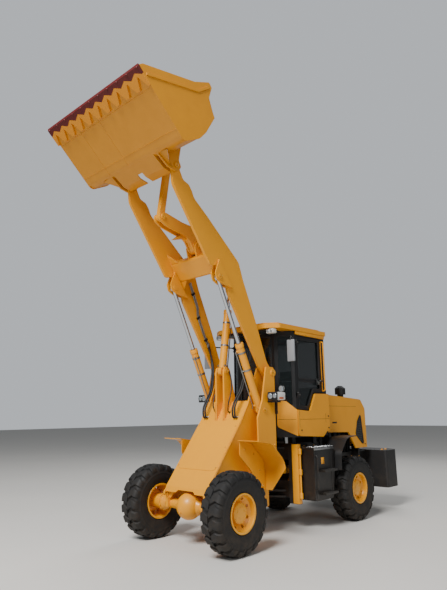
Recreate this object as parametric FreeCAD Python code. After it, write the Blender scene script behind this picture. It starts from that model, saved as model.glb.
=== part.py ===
"""Articulated wheel loader with a Z-bar bucket linkage, raised boom and rolled-back bucket.

Millimetres. +X points forward, +Y to the machine's left, +Z up. Z = 0 is the ground under the
tyres, and the origin lies on the ground at the centre of the machine's outline.
"""
import math
import os

import FreeCAD
import Part

# Wheels and axles
TYRE_OD = 965.0
TYRE_WIDTH = 315.0
LUG_HEIGHT = 26.0
LUG_COUNT = 20
LUG_LENGTH = 104.0
LUG_SLANT = 20.0
LUG_MIDDLE_GAP = 5.0
WHEEL_SEGMENTS = 40
RIM_HOLES = 8
RIM_HOLE_RADIUS = 18.0
BEAD_RADIUS = 222.0
RIM_FLANGE_RADIUS = 233.0
HUB_COVER_RADIUS = 122.0
WHEELBASE = 2840.0
TRACK = 1520.0
FRONT_AXLE_X = 1340.0
AXLE_TUBE_RADIUS = 58.0
AXLE_DOME_RADIUS = 168.0
AXLE_DOME_OUT = 46.0
AXLE_FLANGE_Y = 600.0
AXLE_FLANGE_RADIUS = 100.0
AXLE_PAD_TOP = 560.0

# Articulation between the two frames
HINGE_X = FRONT_AXLE_X - WHEELBASE / 2
HINGE_PIN_RADIUS = 45.0
HINGE_UPPER_Z = 1150.0
HINGE_LOWER_Z = 450.0
EAR_THICKNESS = 45.0
EAR_GAP = 6.0

# Boom, in its own frame: along the line from boom pivot to bucket pin, and square to it
BOOM_PIVOT_X = FRONT_AXLE_X - 1100.0
BOOM_PIVOT_Z = 2230.0
BOOM_LENGTH = 3253.0
BOOM_ANGLE = 54.3
ARM_INNER_Y = 440.0
ARM_THICKNESS = 40.0
BOOM_PIN_RADIUS = 35.0
BUCKET_PIN_RADIUS = 30.0
GUSSET_SIZE = 150.0
GUSSET_PLATE = 20.0

# Tower and nose plates of the front frame
TOWER_PLATE = 25.0
TOWER_INNER_Y = 365.0
TOWER_OUTER_Y = 528.0
NOSE_HALF_WIDTH = 392.0
NOSE_PLATE = 16.0
NOSE_ARCH_Z = 672.0
COVER_HALF_WIDTH = 374.0
COVER_RUN = (90.0, 830.0)
COVER_CORNER = 90.0
COVER_SHEET = 4.0
TOW_EAR_HOLE = 15.0

# Bell crank and bucket link pivots, in the boom's frame
CRANK_PIVOT = (2080.0, 200.0)
CRANK_LINK_PIN = (2700.0, -185.0)
CRANK_ROD_PIN = (1386.0, 664.0)
CRANK_PIN_RADIUS = 35.0
CRANK_HUB_RADIUS = 96.0
CHEEK_INNER_Y = 37.0
CHEEK_THICKNESS = 25.0
LINK_HALF_WIDTH = 34.0
LINK_HALF_DEPTH = 45.0

# Bucket, in its own frame: along the floor from the bucket pin, and square to the floor
BUCKET_ANGLE = 43.0
BUCKET_WIDTH = 2030.0
BUCKET_SHEET = 14.0
BUCKET_SIDE = 16.0
BUCKET_LINK_PIN = (30.0, 470.0)
BUCKET_EAR = 26.0
EDGE_REAR = 985.0
EDGE_SCALLOPS = 10
EDGE_SCALLOP_DEPTH = 150.0
BUCKET_EAR_GAP = 7.0
BUCKET_BEAD = 34.0
BUCKET_BEAD_OUT = 10.0
LINK_PIN_RADIUS = 25.0

# Cylinders
LIFT_BASE = (FRONT_AXLE_X - 894.0, 1700.0)
LIFT_EYE = (1650.0, -120.0)
LIFT_CHEEK = 18.0
LIFT_CHEEK_OUT = 12.0
LIFT_BARREL_RADIUS = 55.0
LIFT_ROD_RADIUS = 28.0
LIFT_BARREL_LENGTH = 990.0
LIFT_CLOSED = 1176.0
TILT_BASE = (FRONT_AXLE_X - 610.0, 2260.0)
TILT_BARREL_RADIUS = 56.0
TILT_ROD_RADIUS = 26.0
TILT_BARREL_LENGTH = 920.0
TILT_CLOSED = 1046.0
STEER_BASE = (HINGE_X - 450.0, 300.0)
STEER_EYE = (HINGE_X + 205.0, 290.0)
STEER_Z = 800.0
STEER_BARREL_RADIUS = 40.0
STEER_ROD_RADIUS = 18.0
STEER_BARREL_LENGTH = 415.0
STEER_CLOSED = 490.0
BORE_GAP = 0.5

# Cab
CAB_HALF_WIDTH = 620.0
CAB_NOSE_HALF_WIDTH = 370.0
CAB_FRONT_X = FRONT_AXLE_X - 1400.0
CAB_CORNER_X = FRONT_AXLE_X - 1570.0
CAB_REAR_X = FRONT_AXLE_X - 2430.0
CAB_FLOOR_Z = 1300.0
CAB_SILL_Z = 1660.0
CAB_TOP_Z = 2900.0
ROOF_TOP_Z = 2995.0
ROOF_FRONT_X = FRONT_AXLE_X - 1050.0
ROOF_HALF_WIDTH = 650.0
MIRROR_X = FRONT_AXLE_X - 1170.0
CAB_WALL = 45.0
SKIRT_DEPTH = 35.0
GLASS = 6.0
SEAT_HALF_WIDTH = 240.0
SEAT_PEDESTAL = 280.0
SEAT_CUSHION = 120.0
SEAT_BACK_TOP = 1000.0
DASH_HALF_WIDTH = 170.0
DASH_HEIGHT = 640.0
STEERING_RADIUS = 200.0
STEERING_RIM = 28.0
STEERING_TILT = 25.0
SEAL_GAP = 0.3
DOOR_GAP = 6.0
DOOR_FRONT_X = CAB_CORNER_X - 35.0
DOOR_REAR_X = CAB_REAR_X + 130.0
DOOR_FRAME = 50.0
DOOR_TOP_Z = CAB_TOP_Z - 70.0
DOOR_BAR_Z = 2150.0
DOOR_HINGE_Z = (1900.0, 2700.0)
DOOR_HINGE_OUT = 18.0

# Rear frame, hood and tail
REAR_AXLE_X = FRONT_AXLE_X - WHEELBASE
RAIL_INNER_Y = 380.0
RAIL_THICKNESS = 25.0
RAIL_TOP_Z = 1200.0
RAIL_TAIL_Z = 980.0
ENGINE_FRONT_X = REAR_AXLE_X + 180.0
ENGINE_REAR_X = REAR_AXLE_X - 820.0
ENGINE_HALF_WIDTH = 260.0
RAIL_REAR_X = REAR_AXLE_X - 1200.0
HOOD_HALF_WIDTH = 560.0
HOOD_SHEET = 25.0
HOOD_KNUCKLE_Y = 380.0
REAR_GRILLE_Z = (1180.0, 1640.0)
REAR_GRILLE_HALF = 380.0
HOOD_KNUCKLE_RADIUS = 14.0
HOOD_FRONT_X = CAB_REAR_X - 30.0
HOOD_REAR_X = REAR_AXLE_X - 900.0
HOOD_TOP_Z = 1950.0
HOOD_BOTTOM_Z = 1340.0
HOOD_TAIL_Z = 1050.0
TAIL_REAR_X = REAR_AXLE_X - 1700.0
TAIL_FRONT_X = REAR_AXLE_X - 1150.0
TAIL_TOP_Z = 990.0
TAIL_BOTTOM_Z = 360.0
TAIL_HALF_WIDTH = 820.0
TOW_PIN_RADIUS = 22.0
FENDER_SHEET = 8.0
FENDER_OUTER_Y = 915.0
LAMP_POD_X = (-1100.0, -880.0)
LAMP_POD_Y = (610.0, 780.0)
LAMP_POD_Z = (1829.0, 1945.0)
STEP_HEIGHTS = (480.0, 800.0)
TANK_INNER_Y = 480.0
TANK_OUTER_Y = 800.0
STEP_OUTER_Y = 900.0
TANK_FRONT_X = HINGE_X - 290.0
TANK_REAR_X = HINGE_X - 840.0
TANK_TOP_Z = 1150.0
TANK_BOTTOM_Z = 400.0

AXLE_Z = TYRE_OD / 2
SIDES = (("left", 1), ("right", -1))


def vec(x, y, z):
    """A point or direction."""
    return FreeCAD.Vector(x, y, z)


def turned(u, v, degrees):
    """The pair (u, v) turned anticlockwise in its plane."""
    a = math.radians(degrees)
    return u * math.cos(a) - v * math.sin(a), u * math.sin(a) + v * math.cos(a)


def boom_xz(along, above):
    """World (x, z) of a point given in the boom's frame."""
    dx, dz = turned(along, above, BOOM_ANGLE)
    return BOOM_PIVOT_X + dx, BOOM_PIVOT_Z + dz


def bucket_xz(along, above):
    """World (x, z) of a point given in the bucket's frame."""
    px, pz = boom_xz(BOOM_LENGTH, 0)
    dx, dz = turned(along, above, BUCKET_ANGLE)
    return px + dx, pz + dz


def outline(rows, place):
    """Closed wire through rows of (u, v, corner radius): straight runs joined by tangent arcs."""
    edges = []
    starts = []
    ends = []
    mids = []
    for i, (u, v, radius) in enumerate(rows):
        pu, pv = rows[i - 1][0], rows[i - 1][1]
        nu, nv = rows[(i + 1) % len(rows)][0], rows[(i + 1) % len(rows)][1]
        if radius <= 0:
            starts.append((u, v))
            ends.append((u, v))
            mids.append(None)
            continue
        la, lb = math.hypot(pu - u, pv - v), math.hypot(nu - u, nv - v)
        au, av, bu, bv = (pu - u) / la, (pv - v) / la, (nu - u) / lb, (nv - v) / lb
        half = math.acos(max(-1.0, min(1.0, au * bu + av * bv))) / 2
        reach = radius / math.tan(half)
        wu, wv = au + bu, av + bv
        lw = math.hypot(wu, wv)
        inset = radius / math.sin(half) - radius
        starts.append((u + au * reach, v + av * reach))
        ends.append((u + bu * reach, v + bv * reach))
        mids.append((u + wu / lw * inset, v + wv / lw * inset))
    for i, mid in enumerate(mids):
        if mid:
            edges.append(Part.Arc(place(*starts[i]), place(*mid), place(*ends[i])).toShape())
        a, b = ends[i], starts[(i + 1) % len(rows)]
        if math.hypot(a[0] - b[0], a[1] - b[1]) > 1e-6:
            edges.append(Part.LineSegment(place(*a), place(*b)).toShape())
    return Part.Wire(edges)


def plate_xz(rows, y0, y1):
    """Side-view outline of (x, z, radius) rows, extruded from y0 to y1."""
    face = Part.Face(outline(rows, lambda u, v: vec(u, y0, v)))
    return face.extrude(vec(0, y1 - y0, 0))


def plate_xy(rows, z0, z1):
    """Plan outline of (x, y, radius) rows, extruded from z0 to z1."""
    face = Part.Face(outline(rows, lambda u, v: vec(u, v, z0)))
    return face.extrude(vec(0, 0, z1 - z0))


def plate_yz(rows, x0, x1):
    """Front-view outline of (y, z, radius) rows, extruded from x0 to x1."""
    face = Part.Face(outline(rows, lambda u, v: vec(x0, u, v)))
    return face.extrude(vec(x1 - x0, 0, 0))


def placed(rows, frame):
    """Rows of (u, v, radius) carried from a member's own frame to world (x, z)."""
    return [frame(u, v) + (r,) for u, v, r in rows]


def strip(rows, thickness):
    """Outline of a bent sheet: an open run of (u, v, radius) rows and its left-hand offset."""
    offset = []
    for i, (u, v, radius) in enumerate(rows):
        normals = []
        for j in (i - 1, i):
            if 0 <= j < len(rows) - 1:
                du, dv = rows[j + 1][0] - rows[j][0], rows[j + 1][1] - rows[j][1]
                run = math.hypot(du, dv)
                normals.append((-dv / run, du / run))
        nu = sum(n[0] for n in normals) / len(normals)
        nv = sum(n[1] for n in normals) / len(normals)
        scale = thickness / (nu * nu + nv * nv)
        if len(normals) == 2 and radius > 0:
            turn = normals[0][0] * normals[1][1] - normals[0][1] * normals[1][0]
            radius = radius - thickness if turn > 0 else radius + thickness
        offset.append((u + nu * scale, v + nv * scale, max(radius, 0)))
    return list(rows) + offset[::-1]


def box(x0, x1, y0, y1, z0, z1):
    """Upright block between two corners."""
    lx, ly, lz = min(x0, x1), min(y0, y1), min(z0, z1)
    return Part.makeBox(abs(x1 - x0), abs(y1 - y0), abs(z1 - z0), vec(lx, ly, lz))


def pin_y(x, z, radius, y0, y1):
    """Round bar along Y."""
    return Part.makeCylinder(radius, y1 - y0, vec(x, y0, z), vec(0, 1, 0))


def pin_z(x, y, radius, z0, z1):
    """Round bar along Z."""
    return Part.makeCylinder(radius, z1 - z0, vec(x, y, z0), vec(0, 0, 1))


def turned_y(rows, x, z):
    """Body of revolution about a Y axis through (x, z), from (y, r, corner radius) rows."""
    face = Part.Face(outline(rows, lambda u, v: vec(x, u, z + v)))
    return face.revolve(vec(x, 0, z), vec(0, 1, 0), 360)


def mirrored(shape):
    """The same shape on the other side of the machine."""
    return shape.mirror(vec(0, 0, 0), vec(0, 1, 0))


def to_side(shape, side):
    """A left-hand shape as it is, or mirrored for the right."""
    return shape if side > 0 else mirrored(shape)


def fused(*shapes):
    """One solid from overlapping or touching shapes."""
    whole = shapes[0]
    if len(shapes) > 1:
        whole = whole.fuse(list(shapes[1:]))
    return whole.removeSplitter()


def both(shape):
    """A left-hand shape with its right-hand twin."""
    return Part.makeCompound([shape, mirrored(shape)])


def write(name, shape):
    """One STEP file per piece."""
    shape.exportStep("parts/" + name + ".step")
    PIECES[name] = shape


PIECES = {}


# Wheels

def segmented_ring(rows):
    """Ring about the Y axis through the origin, in flat wheel segments, from closed (y, radius) rows."""
    step = 2 * math.pi / WHEEL_SEGMENTS
    faces = []
    for i in range(WHEEL_SEGMENTS):
        sides = []
        for angle in (i * step, (i + 1) * step):
            sides.append([vec(r * math.sin(angle), y, r * math.cos(angle)) for y, r in rows])
        for j, (_, radius) in enumerate(rows):
            after = (j + 1) % len(rows)
            corners = [sides[0][j], sides[0][after], sides[1][after], sides[1][j]]
            if rows[after][1] == 0:
                corners.pop(2)
            if radius == 0:
                corners.pop()
            if len(corners) > 2:
                faces.append(Part.Face(Part.makePolygon(corners + corners[:1])))
    ring = Part.Solid(Part.Shell(faces))
    if ring.Volume < 0:
        ring.reverse()
    return ring


def tread_block():
    """One chevron block of the tyre's left row: plan seen from above, and section across the tread."""
    half = TYRE_WIDTH / 2
    crown = TYRE_OD / 2 - LUG_HEIGHT
    top = math.sqrt((TYRE_OD / 2) ** 2 - (LUG_LENGTH / 2 + LUG_SLANT) ** 2)
    plan = []
    for s in (-LUG_LENGTH / 2, LUG_LENGTH / 2):
        edge = [(LUG_MIDDLE_GAP, s + LUG_SLANT), (half * 0.5, s - LUG_SLANT), (half + 5, s + LUG_SLANT * 0.4)]
        plan += edge if s < 0 else edge[::-1]
    points = [vec(s, y, crown - 20) for y, s in plan]
    block = Part.Face(Part.makePolygon(points + points[:1])).extrude(vec(0, 0, LUG_HEIGHT + 30))
    shoulder = half - 6
    section = [(0, crown - 18, 0), (shoulder - 8, crown - 50, 0), (shoulder, crown - 8, 0),
               (shoulder - 34, top, 0), (0, top, 0)]
    face = Part.Face(outline(section, lambda u, v: vec(-LUG_LENGTH, u, v)))
    return block.common(face.extrude(vec(2 * LUG_LENGTH, 0, 0)))


def tyre():
    """Lugged tyre about the Y axis through the origin, outer side at +Y."""
    half = TYRE_WIDTH / 2
    crown = TYRE_OD / 2 - LUG_HEIGHT
    side = [(112, BEAD_RADIUS), (half, BEAD_RADIUS + 95), (half - 5, crown - 62), (half - 44, crown)]
    carcass = segmented_ring(side + [(-y, r) for y, r in side[::-1]])
    block = tread_block()
    pitch = 360.0 / LUG_COUNT
    corner = math.degrees(math.asin((LUG_LENGTH / 2 + LUG_SLANT) / (TYRE_OD / 2)))
    phase = (180 - corner) / pitch % 1
    lugs = []
    for i in range(LUG_COUNT):
        for piece, shift in ((block, phase), (mirrored(block), phase + 0.5)):
            copy = piece.copy()
            copy.rotate(vec(0, 0, 0), vec(0, 1, 0), (i + shift) * pitch)
            lugs.append(copy)
    return carcass.fuse(lugs)


def rim():
    """Rim, dished disc and hub about the Y axis through the origin, outer side at +Y."""
    seat = BEAD_RADIUS - SEAL_GAP
    inner = seat - 14
    hub_end = AXLE_FLANGE_Y + BORE_GAP - TRACK / 2
    shell = segmented_ring([
        (-140, RIM_FLANGE_RADIUS), (-116, seat), (116, seat), (140, RIM_FLANGE_RADIUS), (140, inner),
        (70, inner - 6), (34, HUB_COVER_RADIUS), (84, HUB_COVER_RADIUS), (92, HUB_COVER_RADIUS - 24),
        (92, 0), (hub_end, 0), (hub_end, 92), (14, 92), (14, HUB_COVER_RADIUS + 18), (54, inner - 20),
        (-140, inner)])
    holes = []
    for i in range(RIM_HOLES):
        corners = []
        for k in range(9):
            dx, dz = turned(RIM_HOLE_RADIUS, 0, 45 * k)
            corners.append(vec(dx, -20, 168 + dz))
        hole = Part.Face(Part.makePolygon(corners)).extrude(vec(0, 120, 0))
        hole.rotate(vec(0, 0, 0), vec(0, 1, 0), (i + 0.5) * 360.0 / RIM_HOLES)
        holes.append(hole)
    return shell.cut(holes)


def make_wheels():
    """Four wheels, each a tyre and a rim."""
    left_tyre, left_rim = tyre(), rim()
    for end, x in (("front", FRONT_AXLE_X), ("rear", REAR_AXLE_X)):
        for name, side in SIDES:
            for kind, shape in (("tyre", left_tyre), ("rim", left_rim)):
                piece = to_side(shape.copy(), side)
                piece.translate(vec(x, side * TRACK / 2, AXLE_Z))
                write(f"{kind}_{end}_{name}", piece)


def axle(x, pinion, pad_y):
    """Drive axle with its differential dome, half shafts, brake flanges and pads under the frame."""
    tube, flange = AXLE_TUBE_RADIUS, AXLE_FLANGE_RADIUS
    half = [(0, AXLE_DOME_RADIUS - 20, 0), (40, AXLE_DOME_RADIUS - 20, 0), (140, 105, 0), (200, tube + 14, 0),
            (460, tube, 0), (500, flange, 0), (AXLE_FLANGE_Y, flange, 0)]
    rows = half[1:] + [(AXLE_FLANGE_Y, 0, 0), (-AXLE_FLANGE_Y, 0, 0)]
    rows += [(-y, r, c) for y, r, c in half[:0:-1]]
    body = turned_y(rows, x, AXLE_Z)
    nose = Part.makeCone(110, 62, 330, vec(x, 0, AXLE_Z), vec(pinion, 0, 0))
    dome = Part.makeSphere(AXLE_DOME_RADIUS, vec(x - pinion * AXLE_DOME_OUT, 0, AXLE_Z))
    collars = [pin_y(x, AXLE_Z, flange + 14, side * 536 - 9, side * 536 + 9) for _, side in SIDES]
    pads = [box(x - 105, x + 105, side * (pad_y - 8), side * (pad_y + TOWER_PLATE + 8), AXLE_Z - 40,
                AXLE_PAD_TOP - SEAL_GAP) for _, side in SIDES]
    return fused(body, nose, dome, *collars, *pads)


# Front frame

TOWER_ROWS = (  # x from the front axle, z, corner radius
    (-1140, 1130, 0), (-1140, 2250, 30), (-1120, 2312, 30), (-950, 2312, 40), (-845, 1830, 60),
    (-735, 1590, 60), (-745, 1130, 0))
CORE_ROWS = (  # inner plates: tower, nose flank and axle arch in one
    (-1140, 370, 30), (-1140, 2250, 30), (-1120, 2312, 30), (-950, 2312, 40), (-845, 2080, 60),
    (-735, 1812, 0), (-585, 1570, 60), (98, 700, 20), (150, 652, 20), (158, 600, 34), (104, 590, 20),
    (98, AXLE_PAD_TOP, 0), (-330, AXLE_PAD_TOP, 80),
    (-860, 370, 60))


NOSE_ROWS = (  # x from the front axle, z, corner radius: underside of the bent nose plate
    (-1120, 1815, 0), (-748, 1815, 30), (-585, 1572, 120), (92, 702, 0), (112, 640, 0))


def shifted(rows, x):
    """Rows moved along X by the place of what they are measured from."""
    return [(u + x, v, r) for u, v, r in rows]


def hinge_ear(root_x, z0, thickness, hole, half_root):
    """Horizontal ear from a cross plate to the articulation pin."""
    ear = plate_xy([(root_x, -half_root, 0), (HINGE_X, -95, 0), (root_x, half_root, 0)], z0, z0 + thickness)
    ear = ear.fuse(pin_z(HINGE_X, 0, 95, z0, z0 + thickness))
    return ear.cut(pin_z(HINGE_X, 0, hole, z0 - 1, z0 + thickness + 1))


def front_frame():
    """Towers, nose box, rear cross plate and hinge ears of the front frame."""
    x0 = FRONT_AXLE_X
    core = plate_xz(shifted(CORE_ROWS, x0), TOWER_INNER_Y, TOWER_INNER_Y + TOWER_PLATE)
    outer = plate_xz(shifted(TOWER_ROWS, x0), TOWER_OUTER_Y, TOWER_OUTER_Y + TOWER_PLATE)
    bay_floor = box(x0 - 1140, x0 - 745, TOWER_INNER_Y + TOWER_PLATE, TOWER_OUTER_Y, 1130, 1155)
    bay_back = box(x0 - 1140, x0 - 1120, TOWER_INNER_Y + TOWER_PLATE, TOWER_OUTER_Y, 1130, 1560)
    bx, bz = BOOM_PIVOT_X, BOOM_PIVOT_Z
    boom_pin = pin_y(bx, bz, BOOM_PIN_RADIUS, TOWER_INNER_Y - 12, TOWER_OUTER_Y + TOWER_PLATE + 14)
    boom_cap = pin_y(bx, bz, 52, TOWER_OUTER_Y + TOWER_PLATE, TOWER_OUTER_Y + TOWER_PLATE + 10)
    lx, lz = LIFT_BASE
    lift_pin = pin_y(lx, lz, 30, TOWER_INNER_Y, TOWER_OUTER_Y + TOWER_PLATE + 8)
    one = fused(core, outer, bay_floor, bay_back, boom_pin, boom_cap, lift_pin)
    back_x = x0 - 1140
    back = box(back_x, back_x + 20, -TOWER_INNER_Y, TOWER_INNER_Y, 370, 1800)
    belly = box(back_x, x0 - 860, -TOWER_INNER_Y, TOWER_INNER_Y, 370, 395)
    nose_rows = strip(shifted(NOSE_ROWS, x0), NOSE_PLATE)
    nose = plate_xz(nose_rows, -NOSE_HALF_WIDTH, NOSE_HALF_WIDTH)
    arch_rows = [(-NOSE_HALF_WIDTH, 560, 0), (-NOSE_HALF_WIDTH, 720, 0), (NOSE_HALF_WIDTH, 720, 0),
                 (NOSE_HALF_WIDTH, 560, 0), (330, 560, 0), (235, NOSE_ARCH_Z, 40), (-235, NOSE_ARCH_Z, 40),
                 (-330, 560, 0)]
    arch = plate_yz(arch_rows, x0 + 62, x0 + 62 + NOSE_PLATE)
    nose = nose.cut(plate_yz([(-215, 600, 0), (-150, NOSE_ARCH_Z + 4, 50), (150, NOSE_ARCH_Z + 4, 50), (215, 600, 0)],
                             x0 + 60, x0 + 160))
    shelf = box(x0 - 300, x0 + 70, -TOWER_INNER_Y, TOWER_INNER_Y, 690, 710)
    tow_hole = pin_y(x0 + 124, 622, TOW_EAR_HOLE, -TOWER_OUTER_Y, TOWER_OUTER_Y)
    upper = hinge_ear(back_x + 5, HINGE_UPPER_Z, EAR_THICKNESS, HINGE_PIN_RADIUS + BORE_GAP, 260)
    lower = hinge_ear(back_x + 5, HINGE_LOWER_Z, EAR_THICKNESS, HINGE_PIN_RADIUS + BORE_GAP, 260)
    lugs = []
    ex, ey = STEER_EYE
    for _, side in SIDES:
        for z0 in (STEER_Z - 56, STEER_Z + 31):
            lug = box(ex, back_x + 5, side * (ey - 40), side * (ey + 40), z0, z0 + 25)
            lugs.append(lug.fuse(pin_z(ex, side * ey, 40, z0, z0 + 25)))
    gx, gz = TILT_BASE
    bracket_rows = [(gx - 190, 1825, 0), (gx - 70, gz + 20, 120), (gx - 30, gz + 62, 50), (gx + 40, gz + 58, 50),
                    (gx + 62, gz - 40, 0), (gx + 48, 1560, 0), (gx - 60, 1660, 0)]
    brackets = [plate_xz(bracket_rows, side * 62, side * 90) for _, side in SIDES]
    tilt_pin = pin_y(gx, gz, 30, -98, 98)
    whole = fused(one, mirrored(one), back, belly, nose, arch, shelf, upper, lower, *lugs, *brackets, tilt_pin)
    return whole.cut(tow_hole)


def nose_cover():
    """Wide access cover on the slanted nose plate, with rounded lower corners."""
    (ax, az, _), (bx, bz, _) = NOSE_ROWS[2:4]
    run = math.hypot(bx - ax, bz - az)
    ux, uz = (bx - ax) / run, (bz - az) / run
    lift = NOSE_PLATE + SEAL_GAP
    sx, sz = FRONT_AXLE_X + ax - uz * lift, az + ux * lift
    top, bottom = COVER_RUN
    half = COVER_HALF_WIDTH
    rows = [(top, -half, 10), (top, half, 10), (bottom, half, COVER_CORNER), (bottom, -half, COVER_CORNER)]
    face = Part.Face(outline(rows, lambda u, v: vec(sx + ux * u, v, sz + uz * u)))
    return face.extrude(vec(-uz, 0, ux) * COVER_SHEET)


def front_fender():
    """Curved left-hand mudguard strip behind the wheel, with its inner web on the tower."""
    x0 = FRONT_AXLE_X
    inner = TOWER_OUTER_Y + TOWER_PLATE + SEAL_GAP
    rows = [(-300, 1300, 0), (-560, 1262, 120), (-845, 1010, 240), (-850, 640, 0)]
    sheet = plate_xz(strip(shifted(rows, x0), -FENDER_SHEET), inner, FENDER_OUTER_Y)
    trim = [(inner + 90, 600, 0), (FENDER_OUTER_Y + 5, 600, 0), (FENDER_OUTER_Y + 5, 940, 0)]
    sheet = sheet.cut(plate_yz(trim, x0 - 900, x0 - 780))
    web = plate_xz(shifted([
        (-330, 1296, 0), (-560, 1258, 120), (-840, 1008, 236), (-840, 640, 0), (-700, 640, 60),
        (-560, 900, 200), (-330, 1100, 80)], x0), inner, inner + 12)
    arm = box(x0 - 830, x0 - 760, TOWER_INNER_Y + TOWER_PLATE + SEAL_GAP, inner + 1, 880, 950)
    return fused(sheet, web, arm)


# Boom and bucket linkage

ARM_ROWS = (  # along, above, corner radius
    (-95, 95, 90), (160, 62, 300), (708, 197, 600), (1391, 330, 400), (1640, 400, 160),
    (2436, 190, 900), (2760, 88, 200), (2850, 108, 60), (2950, 106, 60), (3040, 40, 80),
    (3200, 62, 50), (3330, 30, 40), (3330, -62, 40), (3220, -75, 80), (3060, -168, 200),
    (1850, -170, 60), (1800, -40, 40), (1480, -40, 60), (1400, -76, 200), (674, -112, 600),
    (180, -135, 200), (-95, -95, 90))


def boom():
    """Two knee-shaped arms joined by the cross tube, with crank brackets and cylinder lugs."""
    arm = plate_xz(placed(ARM_ROWS, boom_xz), ARM_INNER_Y, ARM_INNER_Y + ARM_THICKNESS)
    bx, bz = BOOM_PIVOT_X, BOOM_PIVOT_Z
    boss_out = TOWER_OUTER_Y - 3
    arm = arm.fuse(pin_y(bx, bz, 82, TOWER_INNER_Y + TOWER_PLATE + 3, boss_out))
    arm = arm.cut(pin_y(bx, bz, BOOM_PIN_RADIUS + BORE_GAP, 300, 600))
    tx, tz = boom_xz(BOOM_LENGTH, 0)
    arm = arm.cut(pin_y(tx, tz, BUCKET_PIN_RADIUS + BORE_GAP, 300, 600))
    cheek_rows = [(1400, 20, 0), (1560, -150, 40), (1650, -200, 60), (1740, -170, 40), (1860, 20, 0)]
    inner, outer = ARM_INNER_Y - LIFT_CHEEK_OUT, ARM_INNER_Y + ARM_THICKNESS + LIFT_CHEEK_OUT
    ex, ez = boom_xz(*LIFT_EYE)
    for y0, pin_y0 in ((inner - LIFT_CHEEK, inner - LIFT_CHEEK - 6), (outer, outer + 6)):
        arm = arm.fuse(plate_xz(placed(cheek_rows, boom_xz), y0, y0 + LIFT_CHEEK))
        arm = arm.fuse(pin_y(ex, ez, 36, pin_y0, pin_y0 + LIFT_CHEEK))
    pad_rows = [(1400, 20, 0), (1456, -38, 0), (1800, -38, 0), (1860, 20, 0)]
    arm = arm.fuse(plate_xz(placed(pad_rows, boom_xz), inner - 1, outer + 1))
    tube_rows = [(1670, 30, 30), (1976, 30, 30), (1976, 215, 30), (1670, 215, 30)]
    tube = plate_xz(placed(tube_rows, boom_xz), -ARM_INNER_Y, ARM_INNER_Y)
    gussets = []
    for along, sign in ((1672, -1), (1974, 1)):
        for _, side in SIDES:
            points = []
            for a, y in ((along, side * (ARM_INNER_Y - GUSSET_SIZE)), (along, side * (ARM_INNER_Y + 2)),
                         (along + sign * GUSSET_SIZE, side * (ARM_INNER_Y + 2))):
                x, z = boom_xz(a, 34)
                points.append(vec(x, y, z))
            dx, dz = turned(0, GUSSET_PLATE, BOOM_ANGLE)
            gussets.append(Part.Face(Part.makePolygon(points + points[:1])).extrude(vec(dx, 0, dz)))
    qa, qb = CRANK_PIVOT
    bracket_rows = [(1930, 40, 0), (qa + 40, qb - 90, 60), (qa + 90, qb + 20, 70), (qa, qb + 90, 70),
                    (1940, 205, 0)]
    brackets = [plate_xz(placed(bracket_rows, boom_xz), side * 72, side * 98) for _, side in SIDES]
    qx, qz = boom_xz(qa, qb)
    pin = pin_y(qx, qz, CRANK_PIN_RADIUS, -106, 106)
    return fused(arm, mirrored(arm), tube, *gussets, *brackets, pin)


def bell_crank():
    """Forked, curved rocker between the tilt rod and the bucket link."""
    pa, pb = CRANK_LINK_PIN
    fa, fb = CRANK_ROD_PIN
    qa, qb = CRANK_PIVOT
    rows = [
        (pa + 70, pb - 40, 60), (pa + 40, pb + 75, 60), (pa - 200, pb + 300, 260), (qa + 200, qb + 190, 200),
        (qa - 20, qb + 165, 100), (qa - 300, fb - 60, 160), (fa + 60, fb + 75, 60), (fa - 80, fb + 50, 60),
        (fa - 60, fb - 80, 60), (qa - 400, qb + 195, 120), (qa - 100, qb + 72, 20), (qa - 70, qb - 20, 60),
        (qa - 40, qb - 108, 80), (qa + 180, qb - 100, 160), (pa - 120, pb - 30, 260), (pa - 20, pb - 80, 60)]
    cheek = plate_xz(placed(rows, boom_xz), CHEEK_INNER_Y, CHEEK_INNER_Y + CHEEK_THICKNESS)
    qx, qz = boom_xz(qa, qb)
    hub = pin_y(qx, qz, CRANK_HUB_RADIUS, -66, 66)
    web_rows = [
        (pa - 330, pb + 330, 0), (qa + 160, qb + 165, 100), (qa, qb + 90, 0), (qa, qb - 90, 0),
        (qa + 180, qb - 78, 120), (pa - 350, pb + 40, 0)]
    web = plate_xz(placed(web_rows, boom_xz), -CHEEK_INNER_Y, CHEEK_INNER_Y)
    px, pz = boom_xz(pa, pb)
    fx, fz = boom_xz(fa, fb)
    bosses = []
    for _, side in SIDES:
        y0, y1 = sorted((side * (CHEEK_INNER_Y + 10), side * (CHEEK_INNER_Y + CHEEK_THICKNESS + 14)))
        bosses += [pin_y(px, pz, 38, y0, y1), pin_y(fx, fz, 38, y0, y1)]
    whole = fused(cheek, mirrored(cheek), hub, web, *bosses)
    return whole.cut(pin_y(qx, qz, CRANK_PIN_RADIUS + BORE_GAP, -120, 120))


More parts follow.
